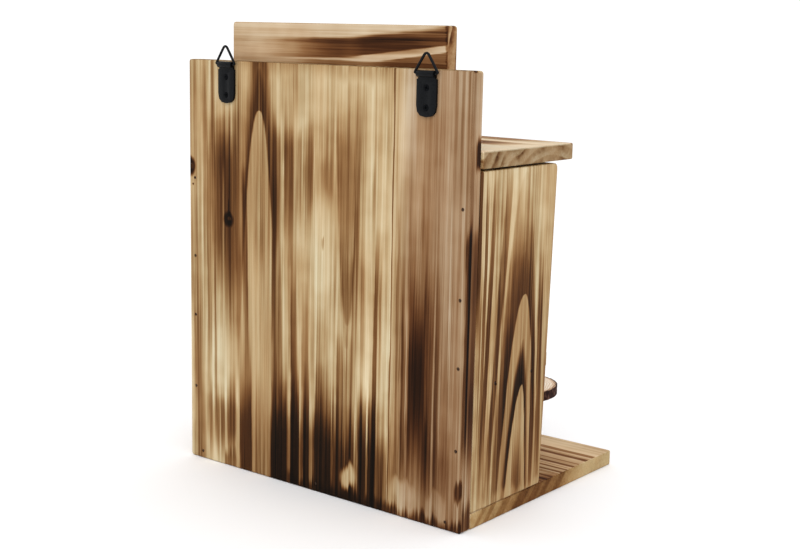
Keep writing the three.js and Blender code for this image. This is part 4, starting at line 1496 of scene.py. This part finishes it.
# Each board's node, finish, slot and log
BOARDS = (
    ("back_board", "torched_pine_back", Slot.TORCHED,
     Board((0, 90, 137), 2, (30, 55), (0.05, 0.1), 7.5, 3.0)),
    ("sign_board", "torched_pine_sign", Slot.TORCHED,
     Board((0, 80, 280), 0, (-30, 8), (0.05, 0.06), 6.0, 17.0, end_tint="ead8ce")),
    ("right_side_panel", "torched_pine_near_side", Slot.TORCHED,
     Board((-111, 45, 110), 2, (-40, 10), (0.08, 0.06), 6.5, 31.0)),
    ("left_side_panel", "torched_pine_far_side", Slot.TORCHED,
     Board((111, 45, 110), 2, (-35, 6), (0.1, 0.05), 6.5, 47.0)),
    ("base_board", "torched_pine_base", Slot.TORCHED,
     Board((0, 0, 5), 0, (12, -40), (0.03, 0.12), 6.5, 59.0, 0.4, "ebe3d2")),
    ("lid", "torched_pine_lid", Slot.TORCHED,
     Board((0, 35, 224), 0, (-10, -45), (0.04, 0.1), 7.0, 71.0, 0.3, "d6d2d3")),
    ("bar_front", "torched_pine_front", Slot.TORCHED,
     Board((0, 15, 46), 0, (50, -10), (0.1, 0.05), 6.0, 83.0)),
    ("bar_counter", "weathered_pine_counter", Slot.COUNTER,
     Board((0, 36, 88), 0, (10, -35), (0.03, 0.1), 5.5, 97.0, 0.15)),
)


@dataclass
class TorchedBoards(SubAssembly):
    """The boards of the box and the lid, and its pane, which keep their CAD solids.

    Sizes are in millimetres. rear and front are y of the back board's two faces, and side_rear and
    side_top are where the near panel's own measure begins.
    """

    width: float = 233.0
    height: float = 275.0
    rear: float = 95.0
    front: float = 85.0
    side_rear: float = 84.0
    side_top: float = 217.4
    sign_top: float = 299.8
    sign_half: float = 85.2
    lid_top: float = 229.0
    lid_half: float = 117.6
    base_top: float = 10.0

    def faces(self) -> dict[str, tuple[Face, ...]]:
        """Measures the faces that the photograph shows.

        Each face begins up to a millimetre inside its board, so that no rounding loses it.

        Returns:
            Each board's faces by its node's name.
        """
        half = self.width / 2
        behind = {"across": ((-1, -1, 0), half + self.rear), "along": ((0, 0, -1), self.height)}
        base = {"across": ((0, -1, -1), self.front + self.base_top), "along": ((1, 0, 0), half)}
        mauve = ((176, 190, "e6dde3"), (200, 214, "ebe7f6"))
        edge_face = Face(
            **behind, where=((-1, 0, 0), 0.3 - half), marks=EDGE_MARKS, tints=mauve, ground=0.24,
        )
        rear_face = Face(
            **behind, where=((0, 1, 0), 1.0 - self.rear), marks=REAR_MARKS, tints=mauve,
        )
        sign_face = Face(
            across=((0, -1, -1), self.front + self.sign_top), along=((-1, 0, 0), self.sign_half),
            where=((0, 1, 0), 1.0 - self.front), marks=SIGN_MARKS, ground=0.06, rag=3,
            tints=((*ALL_OVER, "f4e9ea"),),
        )
        side_face = Face(
            across=((1, -1, 0), half + self.side_rear), along=((0, 0, -1), self.side_top),
            where=((-1, 0, 0), 0.9 - half), marks=SIDE_MARKS, ground=0.18, rag=12,
        )
        base_face = Face(
            **base, where=((0, 0, 1), 0.8 - self.base_top), marks=BASE_MARKS, ground=0.01, rag=0.4,
            tints=((*ALL_OVER, "f6e4da"),),
        )
        base_end = Face(**base, where=((-1, 0, 0), 0.5 - half), marks=BASE_END_MARKS, ground=0.17)
        # The lid's top has a ground below zero, so it is paler than bare wood: pale wood with a
        # painted highlight for the strong light on the top
        lid_face = Face(
            across=((0, -1, -1), self.front + self.lid_top), along=((1, 0, 0), self.lid_half),
            where=((0, 0, 1), 0.8 - self.lid_top), marks=LID_MARKS, ground=-0.1, rag=8,
            tints=((*ALL_OVER, "fff6f8"),),
        )
        return {
            "back_board": (edge_face, rear_face), "sign_board": (sign_face,),
            "right_side_panel": (side_face,), "base_board": (base_face, base_end),
            "lid": (lid_face,),
        }

    def build(self) -> None:
        """Dresses every board, then the pane."""
        faces = self.faces()
        for node, name, slot, board in BOARDS:
            finish = TorchedPine(name, slot, board, faces.get(node, ()))
            self.dress(frame["nodes"][node], finish)
        pane = ClearAcrylic("polished_acrylic_pane", Slot.ACRYLIC)
        self.dress(frame["nodes"]["window_pane"], pane)


@dataclass
class Stool(SubAssembly):
    """A log slice on an upright piece of branch. Sizes are in millimetres.

    heart is where the slice's rings begin, from its middle, and turn how far its cracks are turned
    round, in radians. The seat's bark has seat_relief of the post's relief. Bark is what lies
    farther out than bark_share of the nearest vertex that faces sideways.
    """

    side: Side = Side.LEFT
    middle: Place = (60.0, -39.2, 54.8)
    heart: Place = (3, -2, 0)
    turn: float = 0.0
    seat_radius: float = 32.5
    bark_thickness: float = 1.0
    edge_round: float = 0.45
    edge_steps: int = 3
    seat_cuts: int = 3
    post_rows: int = 22
    post_edge: float = 30.0
    hole_reach: float = 6.0
    bark_relief: float = 0.9
    seat_relief: float = 0.5
    bark_grain: float = 3.2
    bark_share: float = 0.9

    def build(self) -> None:
        """Builds the seat with its bark, and the post."""
        label = self.side.label
        self.build_seat(f"{label}_stool_seat")
        self.build_post(f"{label}_stool_post")

    def centre(self) -> Vector:
        """The seat's middle, in metres."""
        return Vector((self.side.value * self.middle[0], self.middle[1], self.middle[2])) * MM

    def away(self, place: Vector) -> float:
        """How far a place is from the stool's axis, in metres."""
        return (place.xy - self.centre().xy).length

    def build_seat(self, node: str) -> None:
        """Builds the slice and its ring of bark from the CAD outline.

        Args:
            node: The CAD seat.
        """
        share = 1 - self.bark_thickness / self.seat_radius
        seat = merged_copy(node, node + "_slice")
        bark = copy_to(seat, node + "_bark", Matrix.Identity(4))
        with editing(seat):
            bpy.ops.transform.resize(value=(share, share, 1), center_override=self.centre())
        finish_modifier(
            seat, "BEVEL", width=self.edge_round * MM, segments=self.edge_steps,
            limit_method="ANGLE",
        )
        soften(seat)

        with editing(bark):
            pick(bark, "FACE", lambda face: abs(face.normal.z) > LEVEL)
            bpy.ops.mesh.inset(thickness=self.bark_thickness * MM, use_even_offset=True)
            bpy.ops.mesh.bridge_edge_loops()
            bpy.ops.mesh.select_all(action="SELECT")
            bpy.ops.mesh.normals_make_consistent(inside=False)
            bpy.ops.mesh.subdivide(number_cuts=self.seat_cuts)
        self.roughen(bark, self.seat_relief * self.bark_relief)
        soften(bark)

        label = self.side.label
        middle = (self.side.value * self.middle[0], self.middle[1], 0)
        sanded = LogSlice(
            "sanded_log_slice_" + label, Slot.LOG, middle, self.heart, self.seat_radius, self.turn
        )
        self.hand_over(seat, Body.BOX, sanded, node)
        self.hand_over(bark, Body.BOX, Bark("charred_bark_" + label, Slot.BARK))

    def build_post(self, node: str) -> None:
        """Builds the branch under the seat from the CAD outline.

        Args:
            node: The CAD post.
        """
        post = merged_copy(node, node + "_branch")
        verts = post.data.vertices

        def upright(edge: bpy.types.MeshEdge) -> bool:
            """Says whether an edge runs from the post's foot to its top, on its outside.

            Args:
                edge: The edge.

            Returns:
                Whether it does.
            """
            one, two = (verts[index].co for index in edge.vertices)
            tall = abs(one.z - two.z) > self.post_edge * MM
            return tall and self.away(one) > self.hole_reach * MM

        with editing(post):
            pick(post, "EDGE", upright)
            bpy.ops.mesh.subdivide(number_cuts=self.post_rows)
        self.roughen(post, self.bark_relief)
        soften(post)
        branch = Bark("branch_bark_" + self.side.label, Slot.BARK)
        self.hand_over(post, Body.BOX, branch, node)

    def roughen(self, piece: Piece, relief: float) -> None:
        """Presses the bark's cracks into a piece, never outwards.

        Args:
            piece: The piece.
            relief: How deep, in millimetres.
        """
        cracks = bpy.data.textures.new("bark_cracks", "CLOUDS")
        cracks.noise_scale = self.bark_grain * MM
        cracks.noise_depth = 2
        rim = piece.vertex_groups.new(name="outside")
        verts = piece.data.vertices
        reach = self.bark_share * min(self.away(v.co) for v in verts if faces_sideways(v))
        rim.add([v.index for v in verts if self.away(v.co) > reach], 1.0, "REPLACE")
        finish_modifier(
            piece, "DISPLACE", texture=cracks, texture_coords="LOCAL", strength=relief * MM,
            mid_level=1.0, vertex_group=rim.name,
        )


def faces_sideways(vertex: bpy.types.MeshVertex) -> bool:
    """Says whether a vertex faces mostly sideways."""
    return abs(vertex.normal.z) < MOST_UPRIGHT and vertex.normal.xy.length > LEAST_ASIDE


@dataclass(frozen=True)
class Screw:
    """A countersunk screw with a cross recess, tip downwards. Sizes are in millimetres.

    recess, slot_width, slot_depth and head_round are shares of the head's radius. slot_floor is
    the share of its width that a slot keeps at its floor, and point what the shank keeps at its tip.
    """

    head_radius: float
    rim: float
    cone: float
    shank_radius: float
    length: float
    tip: float
    recess: float = 0.78
    slot_width: float = 0.32
    slot_depth: float = 0.45
    slot_floor: float = 0.45
    head_round: float = 0.07
    point: float = 0.05
    sides: int = 28

    def model(self, name: str) -> Piece:
        """Models the screw at the origin with its head's top at zero, a metre for a millimetre.

        Args:
            name: The model's name.

        Returns:
            The model.
        """
        bpy.ops.object.select_all(action="DESELECT")
        bpy.ops.mesh.primitive_cylinder_add(
            vertices=self.sides, radius=self.head_radius, depth=self.rim,
            location=(0, 0, -self.rim / 2),
        )
        screw = bpy.context.object
        screw.name = name
        settle(screw)
        with editing(screw):
            pick(screw, "FACE", lambda face: face.normal.z < -LEVEL)
            self.extrude_down(self.cone, self.shank_radius / self.head_radius)
            self.extrude_down(self.length - self.tip - self.rim - self.cone, 1.0)
            self.extrude_down(self.tip, self.point)
            pick(screw, "FACE", lambda face: face.normal.z > LEVEL)
            bpy.ops.mesh.bevel(offset=self.head_round * self.head_radius, segments=2)
        for turn in (0, math.pi / 2):
            self.cut_slot(screw, turn)
        soften(screw)
        return screw

    def extrude_down(self, height: float, share: float) -> None:
        """Extrudes the selected face down and narrows it to a share of its width."""
        bpy.ops.mesh.extrude_region_move(TRANSFORM_OT_translate={"value": (0, 0, -height)})
        bpy.ops.transform.resize(value=(share, share, 1), center_override=(0, 0, 0))

    def cut_slot(self, screw: Piece, turn: float) -> None:
        """Cuts one slot of the cross, which narrows towards its floor.

        Args:
            screw: The screw.
            turn: The slot's direction round the axis, in radians.
        """
        depth = self.slot_depth * self.head_radius
        bpy.ops.object.select_all(action="DESELECT")
        bpy.ops.mesh.primitive_cube_add(size=1)
        cutter = bpy.context.object
        cutter.dimensions = (
            2 * self.recess * self.head_radius, self.slot_width * self.head_radius, 2 * depth
        )
        cutter.rotation_euler = (0, 0, turn)
        settle(cutter)
        with editing(cutter):
            pick(cutter, "FACE", lambda face: face.normal.z < -LEVEL)
            floor = (self.slot_floor, self.slot_floor, 1)
            bpy.ops.transform.resize(value=floor, center_override=(0, 0, -depth))
        finish_modifier(screw, "BOOLEAN", object=cutter, operation="DIFFERENCE", solver="EXACT")
        bpy.data.objects.remove(cutter)


HANGER_SCREW = Screw(head_radius=2.0, rim=0.2, cone=1.1, shank_radius=0.9, length=8.6, tip=1.6)
HINGE_SCREW = replace(HANGER_SCREW, head_radius=1.9, length=8.0)
PANEL_SCREW = Screw(head_radius=3.0, rim=0.4, cone=1.8, shank_radius=1.5, length=26.0, tip=3.0)
STOOL_SCREW = replace(PANEL_SCREW, length=32.0)


class Way(Enum):
    """The direction that a fastener's head faces, in the object's frame."""

    REAR = (0, 1, 0)
    FRONT = (0, -1, 0)
    TOP = (0, 0, 1)
    FOOT = (0, 0, -1)


@dataclass
class Ironwork(SubAssembly):
    """Hanger plates, rings, hinges, screws and nails. Sizes are in millimetres.

    turn_step is how far each screw's cross is turned on from the last one's, in radians.
    """

    edge_round: float = 0.22
    edge_steps: int = 2
    edge_angle: float = math.radians(40)
    ring_levels: int = 2
    turn_step: float = 0.61
    steel: Finish = BlackSteel("satin_black_steel", Slot.BLACK_STEEL)
    oiled: Finish = BlackSteel("oiled_black_steel", Slot.BLACK_STEEL, 0.28, 0.03)
    nail: Finish = DullSteel("darkened_nail_steel", Slot.NAIL)

    def build(self) -> None:
        """Builds the steel pieces from the CAD's places."""
        for node, piece in frame["nodes"].items():
            if "brad" in node:
                self.dress(piece, self.nail)
            elif "screw" not in node and ("hanger_plate" in node or "hinge" in node):
                self.build_plate(node)
            elif "ring" in node:
                self.build_ring(node)
        for kind, word, way, finish in (
            (HANGER_SCREW, "hanger_screw", Way.REAR, self.oiled),
            (HINGE_SCREW, "board_screw", Way.FRONT, self.oiled),
            (HINGE_SCREW, "lid_screw", Way.TOP, self.oiled),
            (PANEL_SCREW, "base_screw", Way.FOOT, self.nail),
            (STOOL_SCREW, "stool_screw", Way.FOOT, self.nail),
        ):
            self.build_screws(kind, word, way, finish)

    def build_plate(self, node: str) -> None:
        """Rounds a stamped plate's edges.

        Args:
            node: The CAD plate, leaf or pin.
        """
        plate = merged_copy(node, node + "_rounded")
        finish_modifier(
            plate, "BEVEL", width=self.edge_round * MM, segments=self.edge_steps,
            limit_method="ANGLE", angle_limit=self.edge_angle, use_clamp_overlap=True,
        )
        soften(plate)
        self.hand_over(plate, body_of(node), self.steel, node)

    def build_ring(self, node: str) -> None:
        """Rounds the wire of a hanger ring.

        Args:
            node: The CAD ring.
        """
        ring = merged_copy(node, node + "_wire")
        levels = self.ring_levels
        finish_modifier(ring, "SUBSURF", levels=levels, render_levels=levels)
        select_only(ring)
        bpy.ops.object.shade_smooth()
        self.hand_over(ring, body_of(node), self.steel, node)

    def build_screws(self, kind: Screw, word: str, way: Way, finish: Finish) -> None:
        """Models one screw and copies it to the place of every node of its kind.

        Args:
            kind: The screw.
            word: The words that these nodes' names hold.
            way: The side that their heads face.
            finish: Their finish.
        """
        model = kind.model("screw_model")
        axis = next(number for number in range(3) if way.value[number])
        upright = Vector(UP).rotation_difference(Vector(way.value)).to_matrix().to_4x4()
        nodes = sorted(node for node in frame["nodes"] if word in node)
        for index, node in enumerate(nodes):
            low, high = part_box(node)
            head = (low + high) / 2
            head[axis] = high[axis] if way.value[axis] > 0 else low[axis]
            turn = Matrix.Rotation(index * self.turn_step, 4, "Z")
            place = Matrix.Translation(head) @ upright @ turn @ Matrix.Scale(MM, 4)
            screw = copy_to(model, node + "_cross", place)
            self.hand_over(screw, body_of(node), finish, node)
        bpy.data.objects.remove(model)


@dataclass
class Studio:
    """The floor, the light and the camera.

    The camera's lengths are in millimetres and its angles in radians. The floor's and the lamp's
    lengths are in metres.
    """

    camera_place: Place = (-560.2, 722.8, 297.1)
    yaw: float = 0.66632
    pitch: float = 0.17955
    roll: float = 0.021084
    lens: float = 60.70
    sensor: float = 36.0
    floor_size: float = 8.0
    floor_drop: float = 0.0002
    sky: float = 1.1
    lamp_place: Place = (-0.9, 1.3, 1.5)
    lamp_aim: Place = (0, 0, 0.14)
    lamp_size: float = 1.2
    lamp_energy: float = 8.0

    def build(self) -> None:
        """Builds the studio."""
        self.place_camera()
        self.lay_floor()
        self.light()

    def place_camera(self) -> None:
        """Puts the camera where the photograph was taken from."""
        look = Vector((
            math.sin(self.yaw) * math.cos(self.pitch),
            -math.cos(self.yaw) * math.cos(self.pitch),
            -math.sin(self.pitch),
        ))
        right = look.cross(Vector(UP)).normalized()
        top = right.cross(look)
        turned_right = math.cos(self.roll) * right + math.sin(self.roll) * top
        turned_top = math.cos(self.roll) * top - math.sin(self.roll) * right
        data = bpy.data.cameras.new("camera")
        data.lens = self.lens
        data.sensor_width = self.sensor
        data.clip_start = 10 * MM
        camera = new_object("camera", data)
        axes = Matrix((turned_right, turned_top, -look)).transposed().to_4x4()
        camera.matrix_world = Matrix.Translation(Vector(self.camera_place) * MM) @ axes
        bpy.context.scene.camera = camera

    def lay_floor(self) -> None:
        """Lays the plain pale floor under the box."""
        bpy.ops.object.select_all(action="DESELECT")
        bpy.ops.mesh.primitive_plane_add(size=self.floor_size, location=(0, 0, -self.floor_drop))
        floor = bpy.context.object
        floor.name = "floor"
        settle(floor)
        made = bpy.data.materials.new("pale_floor")
        tree = empty_tree(made)
        shader = add_node(tree, "BsdfPrincipled", {
            "Base Color": linear("fdfdfe"), "Roughness": 0.9, "Specular IOR Level": 0.1,
        })
        add_node(tree, "OutputMaterial", {"Surface": shader})
        floor.data.materials.append(made)

    def light(self) -> None:
        """Lights the box softly from all round, a little more from above."""
        scene = bpy.context.scene
        scene.view_settings.view_transform = "Standard"
        scene.view_settings.look = "None"
        world = bpy.data.worlds.new("soft_white")
        tree = empty_tree(world)
        sky = add_node(tree, "Background", {"Color": linear(WHITE), "Strength": self.sky})
        add_node(tree, "OutputWorld", {"Surface": sky})
        scene.world = world
        lamp = bpy.data.lights.new("softbox", "AREA")
        lamp.shape = "DISK"
        lamp.size = self.lamp_size
        lamp.energy = self.lamp_energy
        softbox = new_object("softbox", lamp)
        place = Vector(self.lamp_place)
        softbox.location = place
        softbox.rotation_euler = (Vector(self.lamp_aim) - place).to_track_quat("-Z", "Y").to_euler()


def main() -> None:
    """Builds the feeder's looks in order and reports each piece."""
    logging.basicConfig(level=logging.INFO, format="%(message)s")
    Studio().build()
    groups = [
        TorchedBoards(), Stool(side=Side.LEFT),
        Stool(side=Side.RIGHT, heart=(-4.0, 2.6, 0), turn=2.5), Ironwork(),
    ]
    for group in groups:
        group.build()
        for piece in group.made:
            LOG.info("%s: %s", type(group).__name__, piece.name)


if __name__ == "__main__":
    main()
